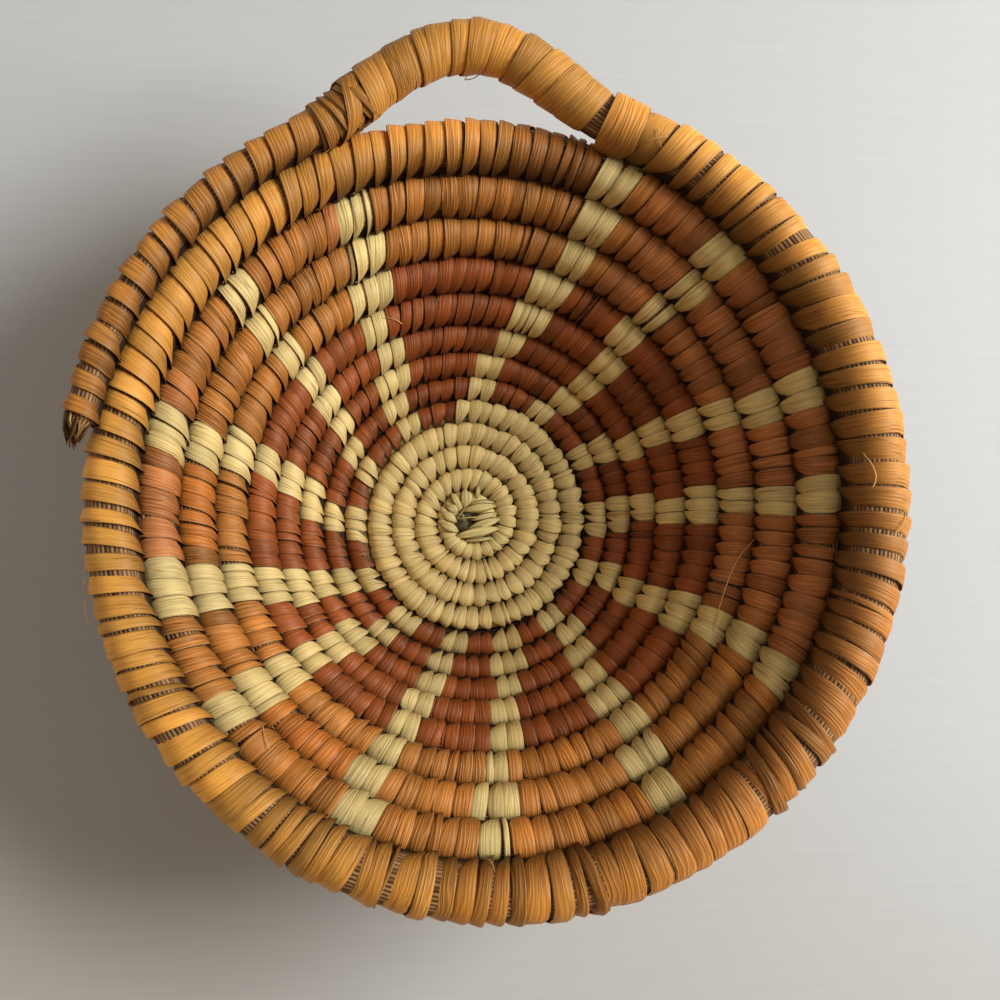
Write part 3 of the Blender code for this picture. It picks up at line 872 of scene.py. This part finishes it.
def lay_stitches(first, last):
    start, end = along_coil(first), along_coil(last)
    stops = [start]
    while stops[-1] < end:
        turn = turn_at(stops[-1])
        roughness = between(UNEVEN_STATIONS, turn)
        step = 1.0 + roughness * hand.uniform(-1, 1)
        if hand.random() < roughness * 0.6:
            step *= hand.uniform(*SHORT_STEPS)
        stops.append(stops[-1] + between(PITCH_STATIONS, turn) * step)
    stretch = (end - start) / (stops[-1] - start)
    stops = [start + (stop - start) * stretch for stop in stops]
    rows = []
    for before, after in zip(stops, stops[1:]):
        pitch = after - before
        along = 0.5 * (before + after)
        turn = turn_at(along)
        width = pitch * (between(COVER_STATIONS, turn) + UNEVEN_COVER * hand.uniform(-1, 1))
        for stretch, share, less in NARROWER_STRIPS:
            if within(turn, stretch) and hand.random() < share:
                width -= less
        if within(turn, OPEN_RIM):
            width -= hand.choice(OPEN_RIM_GAPS)
        colour = leaf_colour(turn)
        ribs = between(RIBBING_STATIONS, turn) * hand.uniform(0.5, 1.1)
        ribs *= PALE_LEAF_RIBS if colour[1] > PALE_LEAF_LEVEL else 1.0
        right_hand = math.cos(2 * math.pi * turn + BLUNT_TURNED)
        blunt = 0.0 if turn > CREAM_END else min(MEAN_BLUNTNESS + BLUNTNESS_SWING * right_hand, 1.0)
        full_end = peak(turn % 1.0, *FULL_END_PLACE) if within(turn, FULL_END_TURNS) else 0.0
        raised = HEAP_HEIGHT * drift(turn, 71.0, 4) if within(turn, HEAPED_RIM) else 0.0
        rows.append((along, pitch, width, stitch_lean(turn), raised, ribs, blunt, full_end, colour))
    return rows


# Up to the rim the coil has the next turn at its outer side, and so has the rim under the tail
LAST_INNER_TURN = 12.2
UNDER_TAIL = (12.32, 12.47)


# Grows the strips of some rows as one piece, which stands for one node of the solids
def sew(name, node, rows, settings):
    shape = bpy.data.meshes.new(name)
    shape.from_pydata([(0.0, 0.0, 0.0)] * len(rows), [], [])
    for index, label in enumerate(STRIP_NUMBERS):
        write_attribute(shape, label, "FLOAT", [row[index] for row in rows])
    write_attribute(shape, "leaf_colour", "FLOAT_COLOR", [(*row[-1], 1.0) for row in rows])
    inner_end, tail_start, tail_end = (along_coil(turn) for turn in (LAST_INNER_TURN, *UNDER_TAIL))
    beside = [row[0] < inner_end or tail_start < row[0] < tail_end for row in rows]
    write_attribute(shape, "turn_outside", "FLOAT", beside)
    seed = int(hand.integers(1000))
    settings = {"Coil line": coil_line, "Leaf": leaf_finish, "Seed": seed, **settings}
    piece = grown(name, shape, stitch_tree, settings)
    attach(piece, "root")
    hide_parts(node)


# One numbered piece of stitching for each stretch of the coil, from turn to turn
def sew_stretches(name, node, turns, settings):
    for index, (first, last) in enumerate(zip(turns, turns[1:]), 1):
        sew(f"{name}_{index}", f"{node}_{index}", lay_stitches(first, last), settings)


MIDDLE_STITCH = {
    "Round steps": 16, "Strip thickness": 0.00100, "Strip seat": -0.00050,
    "Nib length": math.radians(44), "Nib width": 0.22, "Nib bend": 0.4, "Outer pinch": 0.52,
    "Uneven height": 0.00020, "Uneven tilt": 0.00032, "Mean tilt": 0.00010, "Gap fill": 0.00045,
    "Dive": 0.0006, "Dive share": 0.14, "Seam": math.radians(98), "Helix": 0.0,
}
MIDDLE_TURNS = (0.0, 1.25, 2.25, 3.25, 4.27)
sew_stretches("cream_stitches", "centre_wrap", MIDDLE_TURNS, MIDDLE_STITCH)


# The leaf strips of the field. Rust red dyed leaf over five turns, changed for cream leaf where a
# spoke crosses. The strips are thinner than in the middle, with longer and narrower nibs.
FIELD_STITCH = {
    **MIDDLE_STITCH, "Strip thickness": 0.00068, "Strip seat": -0.00048, "Nib length": math.radians(52),
    "Nib width": 0.17, "Nib bend": 0.75, "Outer pinch": 0.28, "Uneven height": 0.00016,
    "Uneven tilt": 0.00026, "Mean tilt": 0.00014, "Dive": 0.0003, "Seam": math.radians(103),
}
FIELD_TURNS = (4.27, 5.3, 6.3, 7.3, 8.3, 9.32)
sew_stretches("field_stitches", "field_wrap", FIELD_TURNS, FIELD_STITCH)


# The leaf strips of the border: undyed tan and brown leaf on the upper wall, with the cream spokes
# going on. They are thin and lie less evenly than those of the field.
BORDER_STITCH = {
    **FIELD_STITCH, "Strip thickness": 0.00062, "Strip seat": -0.00044, "Nib length": math.radians(50),
    "Outer pinch": 0.24, "Uneven height": 0.00022, "Uneven tilt": 0.00036, "Mean tilt": 0.00018,
}
BORDER_TURNS = (9.32, 10.3, 11.3, 12.24)
sew_stretches("border_stitches", "border_wrap", BORDER_TURNS, BORDER_STITCH)


# The rim and the tail: broad golden strips, set apart enough on the right and on the tail for the
# grass to show between them.
RIM_STITCH = {
    **BORDER_STITCH, "Strip seat": -0.00042, "Nib length": math.radians(48), "Nib width": 0.12,
    "Nib bend": 0.90, "Outer pinch": 0.0, "Uneven height": 0.00028, "Uneven tilt": 0.00034,
    "Mean tilt": 0.00024,
}
LEFT_RIM_STITCH = {**RIM_STITCH, "Mean tilt": 0.00031, "Uneven tilt": 0.00028}
RIM_TURNS = (12.24, 12.72, 13.189)
TAIL_TURNS = (13.3225, WRAP_END_TURN)
sew("rim_stitches_1", "rim_wrap_1", lay_stitches(*RIM_TURNS[:2]), LEFT_RIM_STITCH)
sew("rim_stitches_2", "rim_wrap_2", lay_stitches(*RIM_TURNS[1:]), RIM_STITCH)
sew("tail_stitches", "tail_wrap", lay_stitches(*TAIL_TURNS), RIM_STITCH)


# The hanging loop: broad and narrow strips of golden leaf wound slantwise round the free coil, each
# with one edge over its neighbour. Their widths are in mm, before they are fitted to the loop.
LOOP_STRIP_WIDTHS = (6.6, 6.2, 6.8, 6.0, 6.6, 7.0, 2.4, 2.0, 6.6, 2.8, 2.4, 6.4, 3.0, 5.6)
LOOP_TURNS = (13.2085, 13.3005)
LOOP_OVERLAP = 0.0009
LOOP_LEAN = 16.0
LOOP_STEP = 0.00030
LOOP_UNEVENNESS = 0.0001
LOOP_RIBBING = 0.4


def wind_loop(first, last):
    start, end = along_coil(first), along_coil(last)
    share = (end - start) / sum(LOOP_STRIP_WIDTHS)
    rows, before = [], start
    for index, width in enumerate(LOOP_STRIP_WIDTHS):
        pitch = width * share
        along = before + 0.5 * pitch
        turn = turn_at(along)
        angle = math.radians(LOOP_LEAN + hand.uniform(-UNEVEN_LEAN, UNEVEN_LEAN))
        lean = 2.0 * coil_thickness(turn) * math.tan(angle)
        raised = LOOP_STEP * (index % 2) + LOOP_UNEVENNESS * hand.uniform(-1, 1)
        numbers = (along, pitch, pitch + LOOP_OVERLAP, lean, raised, LOOP_RIBBING, 0.0, 0.0)
        rows.append((*numbers, leaf_colour(turn)))
        before += pitch
    return rows


LOOP_STITCH = {
    **RIM_STITCH, "Nib width": 0.95, "Uneven tilt": 0.00020, "Mean tilt": 0.00026,
    "Seam": math.radians(195), "Helix": 1.0,
}
sew("loop_strips", "loop_wrap", wind_loop(*LOOP_TURNS), LOOP_STITCH)


# The lashings at the loop's two feet, of the same tan and golden leaf: on the left narrow strips
# cross over one another, on the right one broad strip lies over the end of the rim's stitching.
# Each strip is given by its turn, width, slant in degrees, height above the others and lightness.
LASHING_COLOUR = TAN * 0.5 + GOLD * 0.5
LASHING_RIBBING = 0.6


def lash(strips):
    rows = []
    for turn, width, slant, raised, light in strips:
        lean = coil_thickness(turn) * math.tan(math.radians(slant))
        numbers = (along_coil(turn), 0.0, width, lean, raised, LASHING_RIBBING, 0.0, 0.0)
        rows.append((*numbers, LASHING_COLOUR * light))
    return rows


LASHING_STITCH = {
    **RIM_STITCH, "Nib length": math.radians(42), "Nib width": 0.45, "Nib bend": 0.6,
    "Uneven height": 0.0, "Gap fill": 0.0009,
}
LEFT_STRIPS = (
    (13.3010, 0.0026, -20.0, 0.0007, 0.7), (13.3040, 0.0016, -22.0, 0.0002, 0.65),
    (13.3026, 0.0030, -18.0, 0.0001, 0.55), (13.3070, 0.0042, 40.0, 0.0008, 0.92),
    (13.3076, 0.0030, -16.0, 0.0002, 0.60), (13.3090, 0.0026, -14.0, 0.0001, 0.65),
    (13.3122, 0.0020, -12.0, 0.0004, 0.62), (13.3140, 0.0022, -4.0, 0.0002, 0.55),
    (13.3178, 0.0034, 5.0, 0.0004, 0.8), (13.3206, 0.0018, 8.0, 0.0000, 0.6),
)
RIGHT_STRIPS = ((13.1955, 0.0088, -3.0, 0.0005, 1.25),)
sew("left_lashing_strips", "loop_lashing_left", lash(LEFT_STRIPS), LASHING_STITCH)
sew("right_lashing_strips", "loop_lashing_right", lash(RIGHT_STRIPS), LASHING_STITCH)
# All that follows the coil's line is made, so the line itself can go
bpy.data.objects.remove(coil_line, do_unlink=True)


# The start of the coil. A wad of straw ends fills the middle, and a few flat straws are folded over
# it from a small pit towards the right. The first turn holds them.
STRAW_RIBBING = 0.45
STRAW_JOURNEY = 0.7
FIBRE_WIDTH = 0.001


# A closed band with six sides along a line. Bands thinner than FIBRE_WIDTH have no pale cut edges, painted
# highlights or painted shade lines at their edges.
def ribbon(points, widths, thickness):
    points = np.array(points, float)
    ahead = unit(np.gradient(points, axis=0))
    beside = unit(np.cross(ahead, (0.0, 0.0, 1.0)))
    above = np.cross(beside, ahead)
    vertices, grains, sides = [], [], []
    reach = np.concatenate(([0.0], np.cumsum(np.linalg.norm(np.diff(points, axis=0), axis=1))))
    for point, side, top, width, far in zip(points, beside, above, widths, reach):
        for angle in np.radians(np.arange(0, 360, 360 // STRIP_SIDES)):
            across = 0.5 * width * math.cos(angle)
            vertices.append(point + side * across + top * 0.5 * thickness * math.sin(angle))
            grains.append((across * MM, far * MM, STRAW_JOURNEY))
            sides.append(math.cos(angle) if max(widths) > FIBRE_WIDTH else 0.0)
    faces = []
    for start in range(0, len(vertices) - STRIP_SIDES, STRIP_SIDES):
        for corner in range(STRIP_SIDES):
            here, there = start + corner, start + (corner + 1) % STRIP_SIDES
            faces.append((here, here + STRIP_SIDES, there + STRIP_SIDES, there))
    ring = range(len(vertices))
    faces += [tuple(ring[:STRIP_SIDES]), tuple(reversed(ring[-STRIP_SIDES:]))]
    return vertices, faces, grains, sides


# One piece of many bands, each given by its line, widths, thickness and colour
def leaf_piece(name, bands):
    vertices, faces, grains, sides, tones, colours = [], [], [], [], [], []
    for points, widths, thickness, colour in bands:
        some, corners, grain, side = ribbon(points, widths, thickness)
        faces += [tuple(len(vertices) + corner for corner in face) for face in corners]
        vertices += some
        grains += grain
        sides += side
        tones += [hand.random()] * len(some)
        colours += [(*(colour * hand.uniform(0.85, 1.1)), 1.0)] * len(some)
    shape = bpy.data.meshes.new(name)
    shape.from_pydata([tuple(v) for v in vertices], [], faces)
    write_attribute(shape, "grain", "FLOAT_VECTOR", grains)
    write_attribute(shape, "side", "FLOAT", sides)
    write_attribute(shape, "tone", "FLOAT", tones)
    write_attribute(shape, "ribbing", "FLOAT", [STRAW_RIBBING] * len(vertices))
    write_attribute(shape, "leaf_colour", "FLOAT_COLOR", colours)
    shape.shade_smooth()
    shape.materials.append(leaf_finish)
    piece = link_piece(name, shape)
    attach(piece, "root")
    return piece


# A line of places in mm, straight in plan, turned into metres
def straight_line(start, end, shares, heights):
    (x0, y0), (x1, y1) = start, end
    places = [(x0 + (x1 - x0) * s, y0 + (y1 - y0) * s, h) for s, h in zip(shares, heights)]
    return np.array(places) / MM


STRAW_FOOT = 3.3
STRAW_THICKNESS = 0.0007
# Each straw in mm: where it comes out of the pit, where it tucks in, its width and how high it lies
STRAWS = (
    ((-0.9, -4.3), (6.8, -3.6), 1.3, 0.3), ((-2.7, -3.2), (8.1, -1.1), 2.7, 0.9),
    ((0.2, -1.6), (8.4, 1.3), 2.5, 0.6), ((1.2, 0.9), (7.7, 2.6), 1.7, 0.3),
    ((-0.9, 3.2), (7.5, 4.5), 2.3, 0.9), ((0.8, 4.9), (7.0, 5.3), 1.6, 0.4),
    ((-0.6, 3.9), (-0.4, 8.8), 2.4, 0.5), ((2.6, 6.0), (2.9, 9.6), 1.3, 0.4),
    ((-2.0, 4.2), (-3.7, 7.6), 2.0, 0.3), ((-2.7, 2.9), (-5.2, 4.6), 1.9, 0.3),
    ((-2.6, 0.5), (-6.4, 2.9), 2.4, 0.4), ((-2.2, -1.9), (-6.9, 0.2), 2.5, 0.4),
)
bands = []
for start, end, width, arch in STRAWS:
    shares = np.linspace(0.0, 1.0, 11)
    profile = np.clip(np.sin(math.pi * (0.05 + 0.93 * shares)), 0.0, 1.0)
    points = straight_line(start, end, shares, STRAW_FOOT + (1.5 + arch) * profile ** 0.5)
    widths = width * np.clip(profile ** 0.75, 0.10, 1.0)
    bands.append((points, widths / MM, STRAW_THICKNESS, STRAW))

# Broken bits of straw lie in the pit, painted darker as the pit's shade: in mm, where their middles are,
# how far one end is tipped up, half their length and their widths from end to end
BROKEN_BITS = 16
BITS_ACROSS = (-2.2, 1.6)
BITS_ALONG = (-2.4, 3.2)
BIT_HEIGHTS = (2.9, 3.7)
BIT_TIPS = (-0.5, 0.5)
BIT_HALVES = (1.0, 1.9)
BIT_WIDTHS = np.array((0.3, 0.8, 0.4))
BIT_THICKNESS = 0.0004
BIT_SHADED_LIGHTS = (0.12, 0.55)
for _ in range(BROKEN_BITS):
    x, y, turned = hand.uniform(*BITS_ACROSS), hand.uniform(*BITS_ALONG), hand.uniform(0.0, math.pi)
    low, tipped, half = hand.uniform(*BIT_HEIGHTS), hand.uniform(*BIT_TIPS), hand.uniform(*BIT_HALVES)
    east, north = math.cos(turned), math.sin(turned)
    points = [(x + s * half * east, y + s * half * north, low + s * tipped) for s in (-1, 0, 1)]
    widths = BIT_WIDTHS * hand.uniform(0.7, 1.1)
    light = hand.uniform(*BIT_SHADED_LIGHTS)
    bands.append((np.array(points) / MM, widths / MM, BIT_THICKNESS, STRAW * light))

# A few hair-thin fibres cross the pit
PIT_FIBRES = (((-3.0, 1.1), (3.2, 1.6)), ((-2.7, 0.9), (-0.4, 3.9)), ((-1.4, 2.7), (-0.6, 0.4)))
PIT_FIBRE_FOOT = 4.7
PIT_FIBRE_ARCH = 0.8
PIT_FIBRE_WIDTH = 0.00035
PIT_FIBRE_THICKNESS = 0.0003
PIT_FIBRE_LIGHT = 0.9
for start, end in PIT_FIBRES:
    shares = np.linspace(0, 1, 6)
    heights = [PIT_FIBRE_FOOT + PIT_FIBRE_ARCH * math.sin(math.pi * share) for share in shares]
    points = straight_line(start, end, shares, heights)
    widths = np.full(len(points), PIT_FIBRE_WIDTH)
    bands.append((points, widths, PIT_FIBRE_THICKNESS, STRAW * PIT_FIBRE_LIGHT))

# Underneath, straw ends fill the middle as far as the first turn, painted dark as the pit's shade
WAD_ENDS = 14
WAD_STARTS = (0.0008, 0.0016)
WAD_REACHES = (0.0042, 0.0052)
WAD_FOOT = 0.0012
WAD_ARCH = 0.0024
WAD_WIDTH = 0.0024
WAD_THICKNESS = 0.0014
WAD_PAINTED_SHADE = 0.13
for step in range(WAD_ENDS):
    angle = 2 * math.pi * step / WAD_ENDS
    shares = np.linspace(0.0, 1.0, 7)
    start, reach = hand.uniform(*WAD_STARTS), hand.uniform(*WAD_REACHES)
    distances = start + (reach - start) * shares
    heights = WAD_FOOT + WAD_ARCH * np.sin(math.pi * (0.25 + 0.6 * shares))
    x, y = SPIRAL_AXIS
    east, north = math.cos(angle), math.sin(angle)
    points = [(x + d * east, y + d * north, h) for d, h in zip(distances, heights)]
    bands.append((points, np.full(len(points), WAD_WIDTH), WAD_THICKNESS, STRAW * WAD_PAINTED_SHADE))
start_straws = leaf_piece("start_straws", bands)
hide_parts("start_knot")


# The frayed end of the tail: past the last strip the grass stems run on bare, torn off at uneven
# lengths and drawn in to a point.
FRAYED_STEMS = 64
FRAY_RADIUS = 0.0027
FRAY_NARROWING = 0.45
FRAY_LENGTHS = (0.0030, 0.0052)
FRAY_WIDTHS = np.array((0.0006, 0.0006, 0.00045, 0.0002))
FRAY_THICKNESS = 0.0005
FRAY_BEND = 0.0005
FRAY_FOOT_ASIDE = 0.0004
FRAY_END_ASIDE = 0.0003
FRAY_SPREAD_SIDEWARDS = 0.0006
FRAY_SPREAD_FACING = 0.0005
BURIED_LENGTH = 0.002
PALE_FRAY_SHARE = 0.3
PALE_FRAY = (TAN + CREAM) * 0.3
DARK_FRAY_LIGHTS = (0.10, 0.3)
GOLDEN_ANGLE = math.radians(137.5)
tip, onwards, sidewards = Vector(line_points[-1]), Vector(line_ahead[-1]), Vector(line_outwards[-1])
facing = sidewards.cross(onwards)
bands = []
for number in range(FRAYED_STEMS):
    reach = FRAY_RADIUS * math.sqrt((number + 0.5) / FRAYED_STEMS)
    angle = number * GOLDEN_ANGLE
    aside, upwards = FRAY_FOOT_ASIDE + reach * math.cos(angle), math.sin(angle)
    foot = tip + sidewards * aside + facing * reach * upwards
    # The middle stems are the longest
    length = hand.uniform(*FRAY_LENGTHS) * (1.15 - 0.4 * reach / FRAY_RADIUS)
    reach *= FRAY_NARROWING
    aside = reach * math.cos(angle) + FRAY_END_ASIDE + FRAY_SPREAD_SIDEWARDS * hand.uniform(-1, 1)
    end = tip + sidewards * aside
    end += facing * (reach * upwards + FRAY_SPREAD_FACING * hand.uniform(-1, 1)) + onwards * length
    bend = sidewards * FRAY_BEND * hand.uniform(-1, 1) + facing * FRAY_BEND * hand.uniform(-1, 1)
    points = [foot - onwards * BURIED_LENGTH, foot, foot.lerp(end, 0.5) + bend, end]
    pale = hand.random() < PALE_FRAY_SHARE
    colour = PALE_FRAY if pale else TAN * hand.uniform(*DARK_FRAY_LIGHTS)
    bands.append((points, FRAY_WIDTHS, FRAY_THICKNESS, colour))
leaf_piece("frayed_tail", bands)


# Bare stems. Where the tail comes back to the rim, below the left lashing, grass stems fill the gap
# between the two. They are pushed in there and held by the lashing's strips. They lie side by side
# in degrees round the coil, and each turns round it and sinks in a little from step to step.
BARE_STEMS = 26
BARE_STEM_WIDTH = 0.0009
BARE_STEM_THICKNESS = 0.0008
BARE_STEM_LIGHTS = (0.25, 0.75)
FIRST_STEM_SIDE = -55.0
STEM_SPACING = 3.0
STEM_STARTS = (13.301, 13.308)
STEM_LIFTS = (0.0, 0.9)
STEM_STEPS = 5
STEP_AHEAD = 0.0065
STEP_ROUND = 6.0
STEP_DOWN = 0.15
UNEVEN_STEP = 2.0


# Two rounds of cutting the corners off a line
def softened(points):
    for _ in range(2):
        points = np.array(points, float)
        cuts = [(a * 0.75 + b * 0.25, a * 0.25 + b * 0.75) for a, b in zip(points, points[1:])]
        points = [points[0], *(place for pair in cuts for place in pair), points[-1]]
    return np.array(points)


# A place above the coil's skin: 0 degrees is the bowl's side, 90 the side of the next turn
def on_coil(turn, side, lift):
    place, angle, radius = coil_place(turn)
    at = round(turn / LAST_TURN * (len(line_turns) - 1))
    outwards, ahead = Vector(line_outwards[at]), Vector(line_ahead[at])
    inwards = outwards.cross(ahead)
    side = math.radians(side)
    return Vector(place) + (inwards * math.cos(side) + outwards * math.sin(side)) * (radius + lift)


bands = []
for number in range(BARE_STEMS):
    side = FIRST_STEM_SIDE - STEM_SPACING * number
    lift, start = hand.uniform(*STEM_LIFTS), hand.uniform(*STEM_STARTS)
    stops = []
    for step in range(STEM_STEPS):
        place = side - STEP_ROUND * step + hand.uniform(-UNEVEN_STEP, UNEVEN_STEP)
        stops.append(on_coil(start + STEP_AHEAD * step, place, (lift - STEP_DOWN * step) / MM))
    points = softened(stops)
    widths = np.full(len(points), BARE_STEM_WIDTH)
    bands.append((points, widths, BARE_STEM_THICKNESS, TAN * hand.uniform(*BARE_STEM_LIGHTS)))
leaf_piece("bare_stems", bands)


# Loose fibres: hair-thin shreds of leaf that stand off the sewing here and there, where a strip has
# frayed. Each goes by stops of turn, place round the coil in degrees and height above it in mm.
LOOSE_FIBRES = (
    ((12.527, 118, 0.1), (12.531, 124, 0.9), (12.537, 128, 1.4), (12.543, 130, 1.7), (12.547, 132, 1.9)),
    ((9.922, 32, 0.3), (9.939, 22, 0.6), (9.956, 22, 0.8), (9.970, 34, 1.0), (9.979, 56, 1.2),
     (9.985, 78, 0.9)),
    ((13.000, 10, 0.2), (13.006, 25, 0.8), (13.012, 20, 1.2), (13.018, 5, 0.6)),
    ((12.741, -45, 0.2), (12.742, -28, 0.9), (12.744, -12, 0.9), (12.745, 2, 0.3)),
    ((13.254, -60, 0.2), (13.256, -75, 1.2), (13.259, -85, 1.7), (13.261, -70, 1.0), (13.260, -60, 0.3)),
    ((13.183, 45, 0.3), (13.181, 30, 0.6), (13.178, 12, 0.3)),
    ((13.178, 40, 0.3), (13.181, 28, 0.7), (13.184, 14, 0.3)),
    ((13.319, -40, 0.6), (13.322, -58, 1.1), (13.325, -70, 1.0)),
    ((8.31, 0, 0.2), (8.314, 22, 0.8), (8.321, 40, 0.5)),
    ((11.62, -20, 0.2), (11.623, 5, 0.9), (11.63, 20, 0.8)),
    ((12.985, 60, 0.2), (12.988, 72, 0.9), (12.995, 78, 0.7)),
)
LOOSE_FIBRE_WIDTHS = (0.00030, 0.00016)
LOOSE_FIBRE_THICKNESS = 0.0002
LOOSE_FIBRE_LIGHTS = (0.35, 0.6)
bands = []
for stops in LOOSE_FIBRES:
    points = softened([on_coil(turn, side, lift / MM) for turn, side, lift in stops])
    widths = np.linspace(*LOOSE_FIBRE_WIDTHS, len(points))
    light = hand.uniform(*LOOSE_FIBRE_LIGHTS)
    bands.append((points, widths, LOOSE_FIBRE_THICKNESS, (CREAM + GOLD) * light))
leaf_piece("loose_fibres", bands)


# The table: a board painted pale grey with a brush. Towards its near left edge it turns warmer and darker,
# partly the paint's own tone and partly painted shade and warm bounced light. It isn't part of the basket.
TABLE_HALF = 1.5
TABLE_ROUGHNESS = 0.6
COOL_PAINT = (0.60, 0.61, 0.60, 1.0)
WARM_SHADED_PAINT = (0.51, 0.475, 0.41, 1.0)
corners = [(x * TABLE_HALF, y * TABLE_HALF, 0.0) for x, y in ((-1, -1), (1, -1), (1, 1), (-1, 1))]
table_shape = bpy.data.meshes.new("table")
table_shape.from_pydata(corners, [], [(0, 1, 2, 3)])
table = link_piece("table", table_shape)
table_finish, bench, shader = shader_bench("painted_board")
east, north, _ = bench.apart(bench.read("ShaderNodeTexCoord", name="Object"))
# Painted shade and warm bounced light, with some warmer paint, towards the near left edge
towards_shaded_edge = ((-0.02 - north - east * 0.25) * 6.0).clipped()
brushed = bench.noise(east * 30.0, north * 900.0, 0.0, 3.0)
paint = bench.blend(towards_shaded_edge, COOL_PAINT, WARM_SHADED_PAINT)
paint = bench.scaled(paint, brushed * 0.10 + 0.95)
bench.fill(shader, {"Base Color": paint, "Roughness": TABLE_ROUGHNESS})
table.data.materials.append(table_finish)


# The room's light: soft and warm from all sides, daylight from a window to the right, and a little
# light thrown back by the wall across from it.
ROOM_COLOUR = (1.0, 0.86, 0.73, 1.0)
ROOM_STRENGTH = 0.235
WINDOW_DISTANCE = 1.4
world = bpy.context.scene.world or bpy.data.worlds.new("room")
bpy.context.scene.world = world
world.use_nodes = True
room = world.node_tree.nodes["Background"]
room.inputs["Color"].default_value = ROOM_COLOUR
room.inputs["Strength"].default_value = ROOM_STRENGTH


def add_window(name, azimuth, elevation, size, power, colour):
    lamp = bpy.data.lights.new(name, "AREA")
    lamp.shape = "RECTANGLE"
    lamp.size, lamp.size_y = size
    lamp.energy = power
    lamp.color = colour
    azimuth, elevation = math.radians(azimuth), math.radians(elevation)
    level = math.cos(elevation)
    away = Vector((level * math.cos(azimuth), level * math.sin(azimuth), math.sin(elevation)))
    turned = away.to_track_quat("Z", "Y").to_matrix().to_4x4()
    spot = bpy.data.objects.new(name, lamp)
    spot.matrix_world = Matrix.Translation(away * WINDOW_DISTANCE) @ turned
    bpy.context.scene.collection.objects.link(spot)


add_window("window", 12.5, 37.0, (0.8, 0.65), 25.5, (0.96, 0.985, 1.0))
add_window("far_wall", 160.0, 38.0, (1.2, 1.2), 1.6, (1.0, 0.95, 0.90))

bpy.context.scene.view_settings.view_transform = "Standard"
